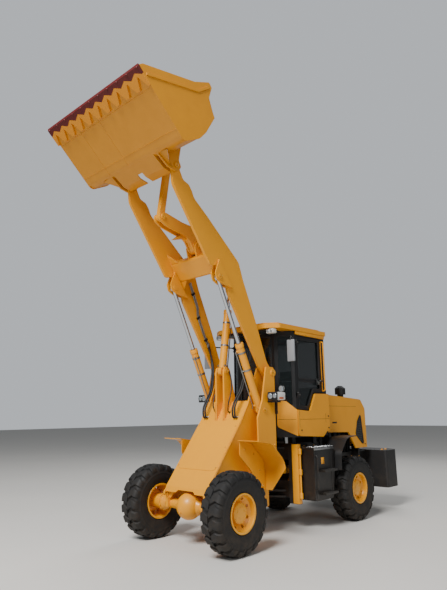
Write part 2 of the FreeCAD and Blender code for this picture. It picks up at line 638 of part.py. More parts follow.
def bucket_link():
    """Straight link from the bell crank to the bucket's upper pin."""
    start = boom_xz(*CRANK_LINK_PIN)
    end = bucket_xz(*BUCKET_LINK_PIN)
    length = math.hypot(end[0] - start[0], end[1] - start[1])
    angle = math.degrees(math.atan2(end[1] - start[1], end[0] - start[0]))

    def place(u, v):
        du, dv = turned(u, v, angle)
        return start[0] + du, start[1] + dv

    depth = LINK_HALF_DEPTH
    rows = [(0, -depth, 0), (0, depth, 0), (length, depth, 0), (length, -depth, 0)]
    bar = plate_xz(placed(rows, place), -LINK_HALF_WIDTH, LINK_HALF_WIDTH)
    eye_a = pin_y(start[0], start[1], depth + 10, -LINK_HALF_WIDTH, LINK_HALF_WIDTH)
    eye_b = pin_y(end[0], end[1], depth + 10, -LINK_HALF_WIDTH, LINK_HALF_WIDTH)
    return fused(bar, eye_a, eye_b).cut(pin_y(end[0], end[1], LINK_PIN_RADIUS + BORE_GAP, -60, 60))


WRAPPER_ROWS = (  # bucket sheet, outer face from cutting edge round the back to the spill guard
    (1200, -200, 0), (250, -200, 120), (152, 110, 160), (160, 262, 120), (232, 576, 60),
    (470, 690, 60), (590, 852, 0))
SIDE_ROWS = (  # side plates
    (1235, -200, 0), (1222, -122, 0), (741, 588, 60), (632, 862, 24), (556, 856, 30), (462, 662, 40),
    (228, 580, 20), (154, 262, 100), (148, 95, 120), (242, -200, 90))


def bucket():
    """Wrapper sheet, side plates, hinge ears, torsion plate and link ears."""
    half = BUCKET_WIDTH / 2
    sheet_rows = placed(strip(list(WRAPPER_ROWS), -BUCKET_SHEET), bucket_xz)
    face = half - BUCKET_BEAD_OUT
    sheet = plate_xz(sheet_rows, -face + 2, face - 2)
    sides = [plate_xz(placed(SIDE_ROWS, bucket_xz), side * (face - BUCKET_SIDE), side * face)
             for _, side in SIDES]
    ear_rows = [(345, -194, 0), (60, -150, 0), (-70, -62, 50), (-75, 60, 50), (20, 90, 60), (180, 330, 0),
                (160, 120, 0), (230, -114, 0), (271, -171, 0)]
    ears = []
    near = ARM_INNER_Y - BUCKET_EAR_GAP
    far = ARM_INNER_Y + ARM_THICKNESS + BUCKET_EAR_GAP
    for _, side in SIDES:
        ears.append(plate_xz(placed(ear_rows, bucket_xz), side * (near - BUCKET_EAR), side * near))
        ears.append(plate_xz(placed(ear_rows, bucket_xz), side * far, side * (far + BUCKET_EAR)))
    tx, tz = bucket_xz(0, 0)
    pins = []
    for _, side in SIDES:
        y0, y1 = sorted((side * (near - BUCKET_EAR - 8), side * (far + BUCKET_EAR + 8)))
        pins.append(pin_y(tx, tz, BUCKET_PIN_RADIUS, y0, y1))
    brace_rows = strip([(335, -197, 0), (60, -148, 40), (-50, -76, 0)], -BUCKET_SHEET)
    brace = plate_xz(placed(brace_rows, bucket_xz), -near, near)
    notch_rows = [(-120, -260, 0), (128, -260, 0), (128, 60, 0), (-120, 60, 0)]
    brace = brace.cut(plate_xz(placed(notch_rows, bucket_xz), -LINK_HALF_WIDTH - 18, LINK_HALF_WIDTH + 18))
    la, lb = BUCKET_LINK_PIN
    link_rows = [(160, lb - 190, 0), (la - 10, lb - 50, 40), (la - 52, lb, 40), (la, lb + 52, 40),
                 (216, lb + 30, 0), (190, lb - 60, 0)]
    lugs = [plate_xz(placed(link_rows, bucket_xz), side * 40, side * 66) for _, side in SIDES]
    lx, lz = bucket_xz(la, lb)
    link_pin = pin_y(lx, lz, LINK_PIN_RADIUS, -74, 74)
    bead_rows = strip([(1120, -150, 0), (640, 560, 60), (600, 800, 0)], BUCKET_BEAD)
    beads = [plate_xz(placed(bead_rows, bucket_xz), side * (face - 1), side * half)
             for _, side in SIDES]
    return fused(sheet, *sides, *ears, *pins, brace, *lugs, link_pin, *beads)


def cutting_edge():
    """Bolt-on edge plate under the front of the bucket floor, its rear edge cut in pointed scallops."""
    half = BUCKET_WIDTH / 2
    rows = [(EDGE_REAR, -226, 0), (1225, -226, 0), (1248, -206, 0), (1236, -200.3, 0), (EDGE_REAR, -200.3, 0)]
    plate = plate_xz(placed(rows, bucket_xz), -half, half)
    pitch = BUCKET_WIDTH / EDGE_SCALLOPS
    notches = []
    for i in range(EDGE_SCALLOPS):
        middle = -half + (i + 0.5) * pitch
        points = []
        for along, y in ((EDGE_REAR - 5, middle - pitch * 0.38), (EDGE_REAR + EDGE_SCALLOP_DEPTH, middle),
                         (EDGE_REAR - 5, middle + pitch * 0.38)):
            x, z = bucket_xz(along, -240)
            points.append(vec(x, y, z))
        dx, dz = turned(0, 60, BUCKET_ANGLE)
        notches.append(Part.Face(Part.makePolygon(points + points[:1])).extrude(vec(dx, 0, dz)))
    return plate.cut(notches)


def cylinder_pair(base, eye, pin_axis, barrel_radius, rod_radius, barrel_length, closed, eye_width, hole):
    """Barrel with base eye and hollow bore, and rod with its closed eye."""
    axis = eye - base
    length = axis.Length
    axis.normalize()
    outer = barrel_radius + 12
    eye_start = base - pin_axis * (eye_width / 2)
    tube = Part.makeCylinder(barrel_radius, barrel_length - 60, base + axis * 40, axis)
    gland = Part.makeCylinder(barrel_radius + 5, 60, base + axis * (barrel_length - 40), axis)
    lug = Part.makeCylinder(outer, eye_width, eye_start, pin_axis)
    barrel = fused(tube, gland, lug)
    bore = Part.makeCylinder(rod_radius + BORE_GAP, barrel_length, base + axis * (outer + 10), axis)
    barrel = barrel.cut(bore)
    barrel = barrel.cut(Part.makeCylinder(hole + BORE_GAP, eye_width + 2, eye_start - pin_axis, pin_axis))
    rod_length = closed - outer - 20
    rod = Part.makeCylinder(rod_radius, rod_length, eye - axis * rod_length, axis)
    head = Part.makeCylinder(rod_radius + 24, eye_width, eye - pin_axis * (eye_width / 2), pin_axis)
    if length < rod_length:
        raise ValueError("rod longer than the cylinder")
    return barrel, fused(rod, head)


def make_cylinders():
    """Tilt cylinder in the middle, a lift cylinder in each tower bay, two steering cylinders."""
    across = vec(0, 1, 0)
    fx, fz = boom_xz(*CRANK_ROD_PIN)
    barrel, rod = cylinder_pair(
        vec(TILT_BASE[0], 0, TILT_BASE[1]), vec(fx, 0, fz), across, TILT_BARREL_RADIUS, TILT_ROD_RADIUS,
        TILT_BARREL_LENGTH, TILT_CLOSED, 2 * LINK_HALF_WIDTH, 30)
    write("tilt_cylinder_barrel", barrel)
    write("tilt_cylinder_rod", rod)
    ex, ez = boom_xz(*LIFT_EYE)
    arm_y = ARM_INNER_Y + ARM_THICKNESS / 2
    left = cylinder_pair(
        vec(LIFT_BASE[0], arm_y, LIFT_BASE[1]), vec(ex, arm_y, ez), across, LIFT_BARREL_RADIUS,
        LIFT_ROD_RADIUS, LIFT_BARREL_LENGTH, LIFT_CLOSED, 36, 30)
    steer = cylinder_pair(
        vec(STEER_BASE[0], STEER_BASE[1], STEER_Z), vec(STEER_EYE[0], STEER_EYE[1], STEER_Z), vec(0, 0, 1),
        STEER_BARREL_RADIUS, STEER_ROD_RADIUS, STEER_BARREL_LENGTH, STEER_CLOSED, 50, 20)
    for name, side in SIDES:
        for kind, pair in (("lift", left), ("steer", steer)):
            write(f"{kind}_barrel_{name}", to_side(pair[0], side))
            write(f"{kind}_rod_{name}", to_side(pair[1], side))


# Rear frame

def rear_chassis():
    """Side rails, cross members, hinge ears with their pins, steering lugs, posts and mounts."""
    front_x = HINGE_X - 260
    rail_rows = [
        (front_x, 420, 0), (front_x, RAIL_TOP_Z, 0), (REAR_AXLE_X + 420, RAIL_TOP_Z, 60),
        (REAR_AXLE_X + 160, RAIL_TAIL_Z, 60), (RAIL_REAR_X, RAIL_TAIL_Z, 0), (RAIL_REAR_X, 640, 0),
        (REAR_AXLE_X - 160, AXLE_PAD_TOP, 0), (REAR_AXLE_X + 160, AXLE_PAD_TOP, 0), (REAR_AXLE_X + 260, 420, 60)]
    rail = plate_xz(rail_rows, RAIL_INNER_Y, RAIL_INNER_Y + RAIL_THICKNESS)
    reach = RAIL_INNER_Y + 5
    front = box(front_x - 25, front_x, -reach, reach, 420, RAIL_TOP_Z)
    window = box(front_x - 60, front_x + 20, 2 - RAIL_INNER_Y, RAIL_INNER_Y - 2, 660, 960)
    rear = box(RAIL_REAR_X, RAIL_REAR_X + 25, -reach, reach, 640, RAIL_TAIL_Z)
    middle = box(REAR_AXLE_X + 300, REAR_AXLE_X + 325, -reach, reach, 590, 720)
    cradle = box(REAR_AXLE_X - 90, REAR_AXLE_X + 90, -reach, reach, 690, 760)
    ears = []
    pins = []
    for z0 in (HINGE_UPPER_Z, HINGE_LOWER_Z):
        for z in (z0 - EAR_GAP - 28, z0 + EAR_THICKNESS + EAR_GAP):
            ears.append(hinge_ear(front_x - 5, z, 28, 1, 300))
        pins.append(pin_z(HINGE_X, 0, HINGE_PIN_RADIUS, z0 - EAR_GAP - 40, z0 + EAR_THICKNESS + EAR_GAP + 36))
    top = box(front_x - 20, front_x + 1, -300, 300, RAIL_TOP_Z - 10, HINGE_UPPER_Z + 90)
    bx, by = STEER_BASE
    lugs = []
    for _, side in SIDES:
        for z0 in (STEER_Z - 56, STEER_Z + 31):
            lugs.append(box(bx - 34, bx + 12, side * by, side * (RAIL_INNER_Y + 2), z0, z0 + 25))
            lugs.append(pin_z(bx, side * by, 34, z0, z0 + 25))
        lugs.append(pin_z(bx, side * by, 20, STEER_Z - 62, STEER_Z + 62))
    face = RAIL_INNER_Y + RAIL_THICKNESS
    post = box(front_x - 15, front_x + 55, face - 5, TANK_INNER_Y + 90, 352, RAIL_TOP_Z)
    mounts = [post]
    for x in (TANK_FRONT_X - 90, TANK_REAR_X + 90):
        mounts.append(box(x - 30, x + 30, face - 5, TANK_INNER_Y - SEAL_GAP, TANK_BOTTOM_Z + 100, TANK_TOP_Z - 150))
    for x in (front_x - 60, CAB_REAR_X + 110):
        mounts.append(box(x - 45, x + 45, RAIL_INNER_Y - 30, face + 30, RAIL_TOP_Z - 20, CAB_FLOOR_Z - SEAL_GAP))
    for x in (ENGINE_FRONT_X - 130, ENGINE_REAR_X + 130):
        mounts.append(box(x - 40, x + 40, ENGINE_HALF_WIDTH + SEAL_GAP, RAIL_INNER_Y + 5, 800, 860))
    for x, z in ((HOOD_FRONT_X - 160, HOOD_BOTTOM_Z), (HOOD_REAR_X + 200, HOOD_TAIL_Z)):
        mounts.append(box(x - 25, x + 25, face - 5, HOOD_HALF_WIDTH - HOOD_SHEET - SEAL_GAP, RAIL_TAIL_Z - 60,
                          z + 60))
    mounts += [mirrored(mount) for mount in mounts]
    return fused(rail, mirrored(rail), front.cut(window), rear, middle, top, cradle, *ears, *lugs, *mounts, *pins)


def engine_block():
    """Engine and gearbox as one heavy block."""
    return box(ENGINE_REAR_X, ENGINE_FRONT_X, -ENGINE_HALF_WIDTH, ENGINE_HALF_WIDTH, 770, 1500)


def counterweight():
    """Cast tail weight seated round the rails' ends, tapered at the rear, with a tow-pin bore."""
    plan = [(TAIL_FRONT_X, TAIL_HALF_WIDTH, 40), (TAIL_REAR_X + 150, TAIL_HALF_WIDTH, 120),
            (TAIL_REAR_X, 620, 160), (TAIL_REAR_X, -620, 160), (TAIL_REAR_X + 150, -TAIL_HALF_WIDTH, 120),
            (TAIL_FRONT_X, -TAIL_HALF_WIDTH, 40)]
    body = plate_xy(plan, TAIL_BOTTOM_Z, TAIL_TOP_Z)
    reach = RAIL_INNER_Y + RAIL_THICKNESS + SEAL_GAP
    body = body.cut(box(RAIL_REAR_X - SEAL_GAP, TAIL_FRONT_X + 5, -reach, reach, 600, TAIL_TOP_Z + 5))
    slot = box(TAIL_REAR_X - 10, TAIL_REAR_X + 130, -110, 110, 520, 600)
    bore = pin_z(TAIL_REAR_X + 60, 0, TOW_PIN_RADIUS, TAIL_BOTTOM_Z - 5, TAIL_TOP_Z + 5)
    return body.cut(slot).cut(bore)


def side_tank():
    """Left tank with two steps' recesses under the cab door."""
    rows = [(TANK_FRONT_X, TANK_BOTTOM_Z, 40), (TANK_FRONT_X, TANK_TOP_Z, 20), (TANK_REAR_X, TANK_TOP_Z, 20),
            (TANK_REAR_X, 760, 40), (TANK_REAR_X + 60, TANK_BOTTOM_Z, 40)]
    return plate_xz(rows, TANK_INNER_Y, TANK_OUTER_Y)


def access_steps():
    """Two step treads hung from the left tank's outer face."""
    treads = []
    for z0 in STEP_HEIGHTS:
        treads.append(box(TANK_REAR_X + 80, TANK_REAR_X + 420, TANK_OUTER_Y + SEAL_GAP, STEP_OUTER_Y,
                          z0, z0 + 30))
    return Part.makeCompound(treads)


SKIRT_ROWS = (  # x from the front axle, z, corner radius
    (-1565, 1320, 60), (-1565, 1700, 0), (-1900, 1675, 60), (-2060, 1945, 30), (-2440, 1950, 0),
    (-2440, 1370, 0), (-2350, 1368, 0), (-2240, 1285, 60))


def side_skirt():
    """Yellow cover along the cab's left side, with the tapered front part under the windscreen."""
    x0 = FRONT_AXLE_X
    side = plate_xz(shifted(SKIRT_ROWS, x0), CAB_HALF_WIDTH + SEAL_GAP, CAB_HALF_WIDTH + SKIRT_DEPTH)
    rear, front = vec(CAB_CORNER_X, CAB_HALF_WIDTH, 0), vec(CAB_FRONT_X, CAB_NOSE_HALF_WIDTH, 0)
    run = (front - rear).Length
    direction = (front - rear).normalize()
    normal = vec(-direction.y, direction.x, 0)
    base = rear + normal * SEAL_GAP
    rows = [(-12, 1318, 0), (-12, 1700, 0), (run * 0.5, 1830, 60), (run - 12, 1830, 20), (run - 12, 1450, 60)]
    face = Part.Face(outline(rows, lambda u, v: base + direction * u + vec(0, 0, v)))
    return fused(side, face.extrude(normal * (SKIRT_DEPTH - 5)))


def rear_fender():
    """Left strip over the rear wheel's front half, hung on the rail by its arm."""
    rows = [(TANK_REAR_X - 20, 800, 0), (TANK_REAR_X - 40, 1060, 160), (REAR_AXLE_X + 330, 1270, 200),
            (REAR_AXLE_X, 1290, 0)]
    sheet = plate_xz(strip(rows, FENDER_SHEET), CAB_HALF_WIDTH - 40, FENDER_OUTER_Y)
    arm = box(TANK_REAR_X - 70, TANK_REAR_X - 38, RAIL_INNER_Y + RAIL_THICKNESS + SEAL_GAP,
              FENDER_OUTER_Y - 200, 960, 1000)
    return fused(sheet, arm)


# Cab

def cab_plan(inset):
    """Plan corners of the cab, left half from front to rear, moved in by a wall's thickness."""
    return [(CAB_FRONT_X - inset, CAB_NOSE_HALF_WIDTH - inset * 0.6), (CAB_CORNER_X - inset * 0.4,
            CAB_HALF_WIDTH - inset), (CAB_REAR_X + inset, CAB_HALF_WIDTH - inset)]


def cab_prism(inset, z0, z1):
    """Cab outline as a solid between two heights."""
    left = cab_plan(inset)
    rows = [(x, y, 0) for x, y in left] + [(x, -y, 0) for x, y in left[::-1]]
    return plate_xy(rows, z0, z1)


def window_cut(a, b, inset, z0, z1, depth):
    """Upright opening in the wall that runs between two plan points."""
    (ax, ay), (bx, by) = a, b
    run = math.hypot(bx - ax, by - ay)
    ux, uy = (bx - ax) / run, (by - ay) / run
    nx, ny = -uy, ux
    p = (ax + ux * inset, ay + uy * inset)
    q = (bx - ux * inset, by - uy * inset)
    rows = [(p[0] + nx * depth, p[1] + ny * depth, 0), (q[0] + nx * depth, q[1] + ny * depth, 0),
            (q[0] - nx * depth, q[1] - ny * depth, 0), (p[0] - nx * depth, p[1] - ny * depth, 0)]
    return plate_xy(rows, z0, z1)


def doorway_rows(inset):
    """Door opening in side view, following the cover's dip and rise, moved in by a gap."""
    x0 = FRONT_AXLE_X
    return [(DOOR_FRONT_X - inset, 1700 + inset, 0), (x0 - 1905 + inset * 0.6, 1690 + inset, 0),
            (x0 - 2075 + inset * 0.6, 1965 + inset, 0), (DOOR_REAR_X + inset, 1965 + inset, 0),
            (DOOR_REAR_X + inset, DOOR_TOP_Z - inset, 0), (DOOR_FRONT_X - inset, DOOR_TOP_Z - inset, 0)]


def shrunk(rows, gap):
    """Closed outline moved in by a gap on every side."""
    area = sum(a[0] * b[1] - b[0] * a[1] for a, b in zip(rows, rows[1:] + rows[:1]))
    turn = 1 if area > 0 else -1
    moved = []
    for i, (u, v, radius) in enumerate(rows):
        pu, pv = rows[i - 1][:2]
        nu, nv = rows[(i + 1) % len(rows)][:2]
        normals = []
        for du, dv in ((u - pu, v - pv), (nu - u, nv - v)):
            run = math.hypot(du, dv)
            normals.append((-dv / run * turn, du / run * turn))
        mu, mv = normals[0][0] + normals[1][0], normals[0][1] + normals[1][1]
        scale = 2 * gap / (mu * mu + mv * mv)
        moved.append((u + mu * scale, v + mv * scale, max(radius - gap, 0)))
    return moved


def cab_walls():
    """Wall runs of the cab: name, start, end, sill height, side margin of the opening."""
    front, corner, rear = cab_plan(0)
    walls = [("windscreen", (front[0], -front[1]), front, 1860, 55)]
    for name, side in SIDES:
        walls.append(("quarter_" + name, (front[0], side * front[1]), (corner[0], side * corner[1]), 1760, 45))
    walls.append(("rear", (rear[0], -rear[1]), rear, 2060, 90))
    return walls


def cab_shell():
    """Hollow cab with floor, pillars and all window and door openings."""
    shell = cab_prism(0, CAB_FLOOR_Z, CAB_TOP_Z).cut(
        cab_prism(CAB_WALL, CAB_FLOOR_Z + 40, CAB_TOP_Z - CAB_WALL))
    for _, a, b, sill, margin in cab_walls():
        shell = shell.cut(window_cut(a, b, margin, sill, CAB_TOP_Z - 80, CAB_WALL + 25))
    doorway = plate_xz(doorway_rows(0), CAB_HALF_WIDTH - CAB_WALL - 20, CAB_HALF_WIDTH + 5)
    shell = shell.cut(doorway).cut(mirrored(doorway))
    hinges = []
    hy = CAB_HALF_WIDTH + DOOR_HINGE_OUT
    for z in DOOR_HINGE_Z:
        hinges.append(pin_z(DOOR_FRONT_X, hy, 9, z - 30, z + 46))
        hinges.append(box(DOOR_FRONT_X + 1, DOOR_FRONT_X + 24, CAB_HALF_WIDTH - 4, hy + 9, z - 30, z - 6))
    return fused(shell, *hinges, *[mirrored(hinge) for hinge in hinges])


def cab_glass():
    """Fixed panes, each just inside its opening."""
    panes = []
    for _, a, b, sill, margin in cab_walls():
        (ax, ay), (bx, by) = a, b
        run = math.hypot(bx - ax, by - ay)
        ux, uy = (bx - ax) / run, (by - ay) / run
        cx, cy = (CAB_FRONT_X + CAB_REAR_X) / 2, 0
        nx, ny = -uy, ux
        if (cx - ax) * nx + (cy - ay) * ny < 0:
            nx, ny = -nx, -ny
        shift = 8
        edge = margin + SEAL_GAP
        p = (ax + ux * edge + nx * shift, ay + uy * edge + ny * shift)
        q = (bx - ux * edge + nx * shift, by - uy * edge + ny * shift)
        rows = [(p[0], p[1], 0), (q[0], q[1], 0), (q[0] + nx * GLASS, q[1] + ny * GLASS, 0),
                (p[0] + nx * GLASS, p[1] + ny * GLASS, 0)]
        panes.append(plate_xy(rows, sill + SEAL_GAP, CAB_TOP_Z - 80 - SEAL_GAP))
    return Part.makeCompound(panes)


def cab_roof():
    """Roof cap with its overhang, crowned by a raised middle."""
    left = [(ROOF_FRONT_X, 470, 60), (ROOF_FRONT_X - 130, ROOF_HALF_WIDTH, 60), (CAB_REAR_X - 60, ROOF_HALF_WIDTH, 60)]
    rows = left + [(x, -y, r) for x, y, r in left[::-1]]
    cap = plate_xy(rows, CAB_TOP_Z + SEAL_GAP, ROOF_TOP_Z - 30)
    crown = [(x + (90 if x < 0 else -60), y - 70 if y > 0 else y + 70, r) for x, y, r in rows]
    return fused(cap, plate_xy(crown, ROOF_TOP_Z - 31, ROOF_TOP_Z))


def door(side):
    """Glazed door frame filling the doorway, its hinge knuckles and handle, and its two panes."""
    y0, y1 = CAB_HALF_WIDTH - CAB_WALL + 2, CAB_HALF_WIDTH - 2
    outer = doorway_rows(DOOR_GAP)
    frame = plate_xz(outer, y0, y1)
    x0, x1 = DOOR_REAR_X + DOOR_GAP + DOOR_FRAME, DOOR_FRONT_X - DOOR_GAP - DOOR_FRAME
    z1 = DOOR_TOP_Z - DOOR_GAP - DOOR_FRAME
    upper = [(x0, DOOR_BAR_Z + 20, 30), (x1, DOOR_BAR_Z + 20, 30), (x1, z1, 30), (x0, z1, 30)]
    low = doorway_rows(DOOR_GAP + DOOR_FRAME)
    lower = [low[0], low[1], low[2], low[3], (x0, DOOR_BAR_Z - 20, 30), (x1, DOOR_BAR_Z - 20, 30)]
    panes = []
    for rows in (upper, lower):
        frame = frame.cut(plate_xz(rows, y0 - 5, y1 + 5))
        panes.append(plate_xz(shrunk(rows, SEAL_GAP), y0 + 12, y0 + 12 + GLASS))
    handle = box(x0 - 40, x0 + 50, y1 - 1, y1 + 34, DOOR_BAR_Z - 15, DOOR_BAR_Z + 15)
    parts = [frame, handle]
    hy = CAB_HALF_WIDTH + DOOR_HINGE_OUT
    for z in DOOR_HINGE_Z:
        barrel = pin_z(DOOR_FRONT_X, hy, 16, z, z + 50)
        tab = box(DOOR_FRONT_X - 60, DOOR_FRONT_X, y1 - 1, hy + 4, z, z + 50)
        parts.append(barrel.fuse(tab).cut(pin_z(DOOR_FRONT_X, hy, 9 + BORE_GAP, z - 1, z + 51)))
    return to_side(fused(*parts), side), to_side(Part.makeCompound(panes), side)


def seat():
    """Driver's seat on its pedestal."""
    x = CAB_REAR_X + 420
    z = CAB_FLOOR_Z + 40
    low, high = z + SEAT_PEDESTAL, z + SEAT_PEDESTAL + SEAT_CUSHION
    half = SEAT_HALF_WIDTH
    return fused(box(x - 150, x + 150, -150, 150, z + SEAL_GAP, low),
                 box(x - 230, x + 260, -half, half, low, high),
                 box(x - 260, x - 150, 10 - half, half - 10, high, z + SEAT_BACK_TOP))


def controls():
    """Dashboard, steering column and wheel."""
    x = CAB_FRONT_X - 200
    z = CAB_FLOOR_Z + 40
    base = box(x - 90, x + 60, -DASH_HALF_WIDTH, DASH_HALF_WIDTH, z + SEAL_GAP, z + DASH_HEIGHT)
    root = z + DASH_HEIGHT - 40
    column = pin_z(x - 40, 0, 28, root, root + 260)
    inner = STEERING_RADIUS - STEERING_RIM
    ring = pin_z(x - 40, 0, STEERING_RADIUS, root + 230, root + 255)
    ring = ring.cut(pin_z(x - 40, 0, inner, root + 229, root + 256))
    spoke = box(x - 58, x - 22, -inner - 13, inner + 13, root + 232, root + 252)
    wheel = fused(column, ring, spoke)
    wheel.rotate(vec(x - 40, 0, root), vec(0, 1, 0), -STEERING_TILT)
    return fused(base, wheel)


# Hood and tail fittings

def hood_rows(inset):
    """Side view of the hood, moved in by its sheet thickness where it has a wall."""
    drop = HOOD_SHEET * 40 if inset else 0
    return [(HOOD_FRONT_X + inset, HOOD_BOTTOM_Z - drop, 0), (HOOD_FRONT_X + inset, HOOD_TOP_Z - inset, 0),
            (HOOD_REAR_X + 80, HOOD_TOP_Z - 70 - inset, 100), (HOOD_REAR_X - 60 + inset, 1720, 80),
            (HOOD_REAR_X - 60 + inset, HOOD_TAIL_Z - drop, 0), (HOOD_REAR_X + 340, HOOD_TAIL_Z - drop, 0),
            (HOOD_REAR_X + 560, 1325 - drop, 60)]


def hood():
    """Engine hood as a shell open below and in front, hinged at its front top edge."""
    outer = plate_xz(hood_rows(0), -HOOD_HALF_WIDTH, HOOD_HALF_WIDTH)
    room = HOOD_HALF_WIDTH - HOOD_SHEET
    shell = outer.cut(plate_xz(hood_rows(HOOD_SHEET), -room, room))
    knuckles = []
    for y in (-HOOD_KNUCKLE_Y, HOOD_KNUCKLE_Y):
        knuckles.append(pin_y(HOOD_FRONT_X, HOOD_TOP_Z, HOOD_KNUCKLE_RADIUS, y - 50, y + 50))
    return fused(shell, *knuckles)


def side_grille():
    """Left air grille: a slatted leaf shape on the hood's side."""
    rows = [(HOOD_REAR_X + 120, 1640, 30), (HOOD_REAR_X + 250, 1500, 80), (HOOD_REAR_X + 330, 1280, 60),
            (HOOD_REAR_X + 110, 1110, 40), (HOOD_REAR_X + 60, 1130, 20)]
    y0 = HOOD_HALF_WIDTH + SEAL_GAP
    leaf = plate_xz(rows, y0, y0 + 10)
    core = plate_xz(shrunk(rows, 18), y0 + 3, y0 + 20)
    bars = [box(HOOD_REAR_X, HOOD_REAR_X + 400, y0, y0 + 10, z, z + 10) for z in range(1140, 1620, 30)]
    return fused(leaf.cut(core), *[bar.common(leaf) for bar in bars])


def rear_grille():
    """Radiator outlet at the hood's rear face: a frame with level slats."""
    x = HOOD_REAR_X - 60 - SEAL_GAP
    z0, z1 = REAR_GRILLE_Z
    half = REAR_GRILLE_HALF
    border = box(x - 12, x, -half, half, z0, z1)
    border = border.cut(box(x - 20, x + 5, 30 - half, half - 30, z0 + 30, z1 - 30))
    slats = [box(x - 10, x - 2, 28 - half, half - 28, z, z + 16) for z in range(int(z0) + 50, int(z1) - 40, 38)]
    return fused(border, *slats)


def air_cleaner():
    """Dark pre-cleaner cap on its neck, standing on the hood's sloping top."""
    x = HOOD_REAR_X + 320
    foot = Part.makeCylinder(55, 260, vec(x, 300, HOOD_TOP_Z - 200), vec(0, 0, 1))
    bowl = Part.makeCylinder(95, 110, vec(x, 300, HOOD_TOP_Z + 20), vec(0, 0, 1))
    lid = Part.makeCone(95, 40, 45, vec(x, 300, HOOD_TOP_Z + 130), vec(0, 0, 1))
    stand = plate_xz(hood_rows(0), -HOOD_HALF_WIDTH, HOOD_HALF_WIDTH)
    stand.translate(vec(0, 0, SEAL_GAP))
    return fused(foot, bowl, lid).cut(stand)


def head_lamp():
    """Left lamp pod on a bracket from the tower's outer face."""
    x0 = FRONT_AXLE_X
    arm = box(x0 - 1080, x0 - 960, TOWER_OUTER_Y + TOWER_PLATE + SEAL_GAP, 700, 1800, 1830)
    pod = box(x0 + LAMP_POD_X[0], x0 + LAMP_POD_X[1], *LAMP_POD_Y, *LAMP_POD_Z)
    return fused(arm, pod)


def mirror_arm():
    """Left rear-view mirror on its arm, reaching forward from the cab's front corner."""
    start = vec(CAB_CORNER_X - 6, CAB_HALF_WIDTH + 12 + SEAL_GAP, 2740)
    end = vec(MIRROR_X, 850, 2740)
    axis = end - start
    length = axis.Length
    axis.normalize()
    arm = Part.makeCylinder(12, length, start, axis)
    foot = Part.makeSphere(12, start)
    glass = box(MIRROR_X - 18, MIRROR_X + 18, 785, 915, 2380, 2700)
    stem = pin_z(MIRROR_X, 850, 10, 2690, 2745)
    return fused(arm, foot, glass, stem)


def main():
    """Build every piece and write it out."""
    os.makedirs("parts", exist_ok=True)
    make_wheels()
    write("front_axle", axle(FRONT_AXLE_X, -1, TOWER_INNER_Y))
    write("rear_axle", axle(REAR_AXLE_X, 1, RAIL_INNER_Y))
    write("front_frame", front_frame())
    write("nose_cover", nose_cover())
    write("front_fenders", both(front_fender()))
    write("head_lamps", both(head_lamp()))
    write("boom", boom())
    write("bell_crank", bell_crank())
    write("bucket_link", bucket_link())
    write("bucket", bucket())
    write("cutting_edge", cutting_edge())
    make_cylinders()
    write("rear_chassis", rear_chassis())
    write("engine_block", engine_block())
    write("counterweight", counterweight())
    write("side_tanks", both(side_tank()))
    write("access_steps", both(access_steps()))
    write("side_skirts", both(side_skirt()))
    write("rear_fenders", both(rear_fender()))
    write("cab_shell", cab_shell())
    write("cab_glass", cab_glass())
    write("cab_roof", cab_roof())
    for name, side in SIDES:
        frame, pane = door(side)
        write("door_" + name, frame)
        write("door_glass_" + name, pane)
    write("seat", seat())
    write("controls", controls())
    write("hood", hood())
    write("side_grilles", Part.makeCompound([side_grille(), mirrored(side_grille()), rear_grille()]))
    write("air_cleaner", air_cleaner())
    write("mirrors", both(mirror_arm()))
    total = Part.makeCompound(list(PIECES.values())).BoundBox
    print("outline", [round(v) for v in (total.XMin, total.XMax, total.YMin, total.YMax, total.ZMin, total.ZMax)])
    for name, shape in PIECES.items():
        if not shape.isValid() or not shape.Solids:
            print("not valid:", name)


main()
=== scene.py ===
"""Wheel loader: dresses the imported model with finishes, hoses, lamps, bolts and trim, and sets the studio."""

import logging
import math
from dataclasses import dataclass
from enum import Enum
from typing import Iterable, Iterator, Sequence

import bmesh
import bpy
from mathutils import Matrix, Vector

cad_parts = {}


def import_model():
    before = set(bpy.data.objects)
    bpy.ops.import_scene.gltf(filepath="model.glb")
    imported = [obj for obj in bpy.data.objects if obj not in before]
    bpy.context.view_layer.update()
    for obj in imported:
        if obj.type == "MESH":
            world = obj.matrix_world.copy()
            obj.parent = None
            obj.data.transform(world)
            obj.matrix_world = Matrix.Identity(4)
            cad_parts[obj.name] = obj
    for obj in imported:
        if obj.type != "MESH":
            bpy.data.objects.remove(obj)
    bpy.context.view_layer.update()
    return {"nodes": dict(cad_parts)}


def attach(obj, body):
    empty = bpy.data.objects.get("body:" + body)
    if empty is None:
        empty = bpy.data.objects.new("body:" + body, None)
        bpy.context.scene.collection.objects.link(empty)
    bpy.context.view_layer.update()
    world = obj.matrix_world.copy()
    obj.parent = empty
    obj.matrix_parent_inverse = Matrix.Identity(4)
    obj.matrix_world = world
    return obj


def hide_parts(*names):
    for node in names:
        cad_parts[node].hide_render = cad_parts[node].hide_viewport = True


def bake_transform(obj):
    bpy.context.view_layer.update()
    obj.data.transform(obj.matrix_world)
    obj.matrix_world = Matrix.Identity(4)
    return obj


LOG = logging.getLogger("loader")
Triple = Sequence[float]
Outline = Sequence[tuple[float, float]]
Socket = bpy.types.NodeSocket

FULL_TURN = 2 * math.pi
METRES = 0.001
WELD_PASS_MM, WELD_RIPPLE = 9.0, 0.16
UP, ALONG, ACROSS = (0, 0, 1), (1, 0, 0), (0, 1, 0)
REAR, FRONT, BOOM_BODY, BUCKET_BODY = "rear_frame", "front_frame_body", "boom_body", "bucket_body"


class Side(Enum):
    """The machine's two sides, as the sign of Y."""

    LEFT = 1
    RIGHT = -1

    @property
    def word(self) -> str:
        """The side's name in lower case."""
        return self.name.lower()


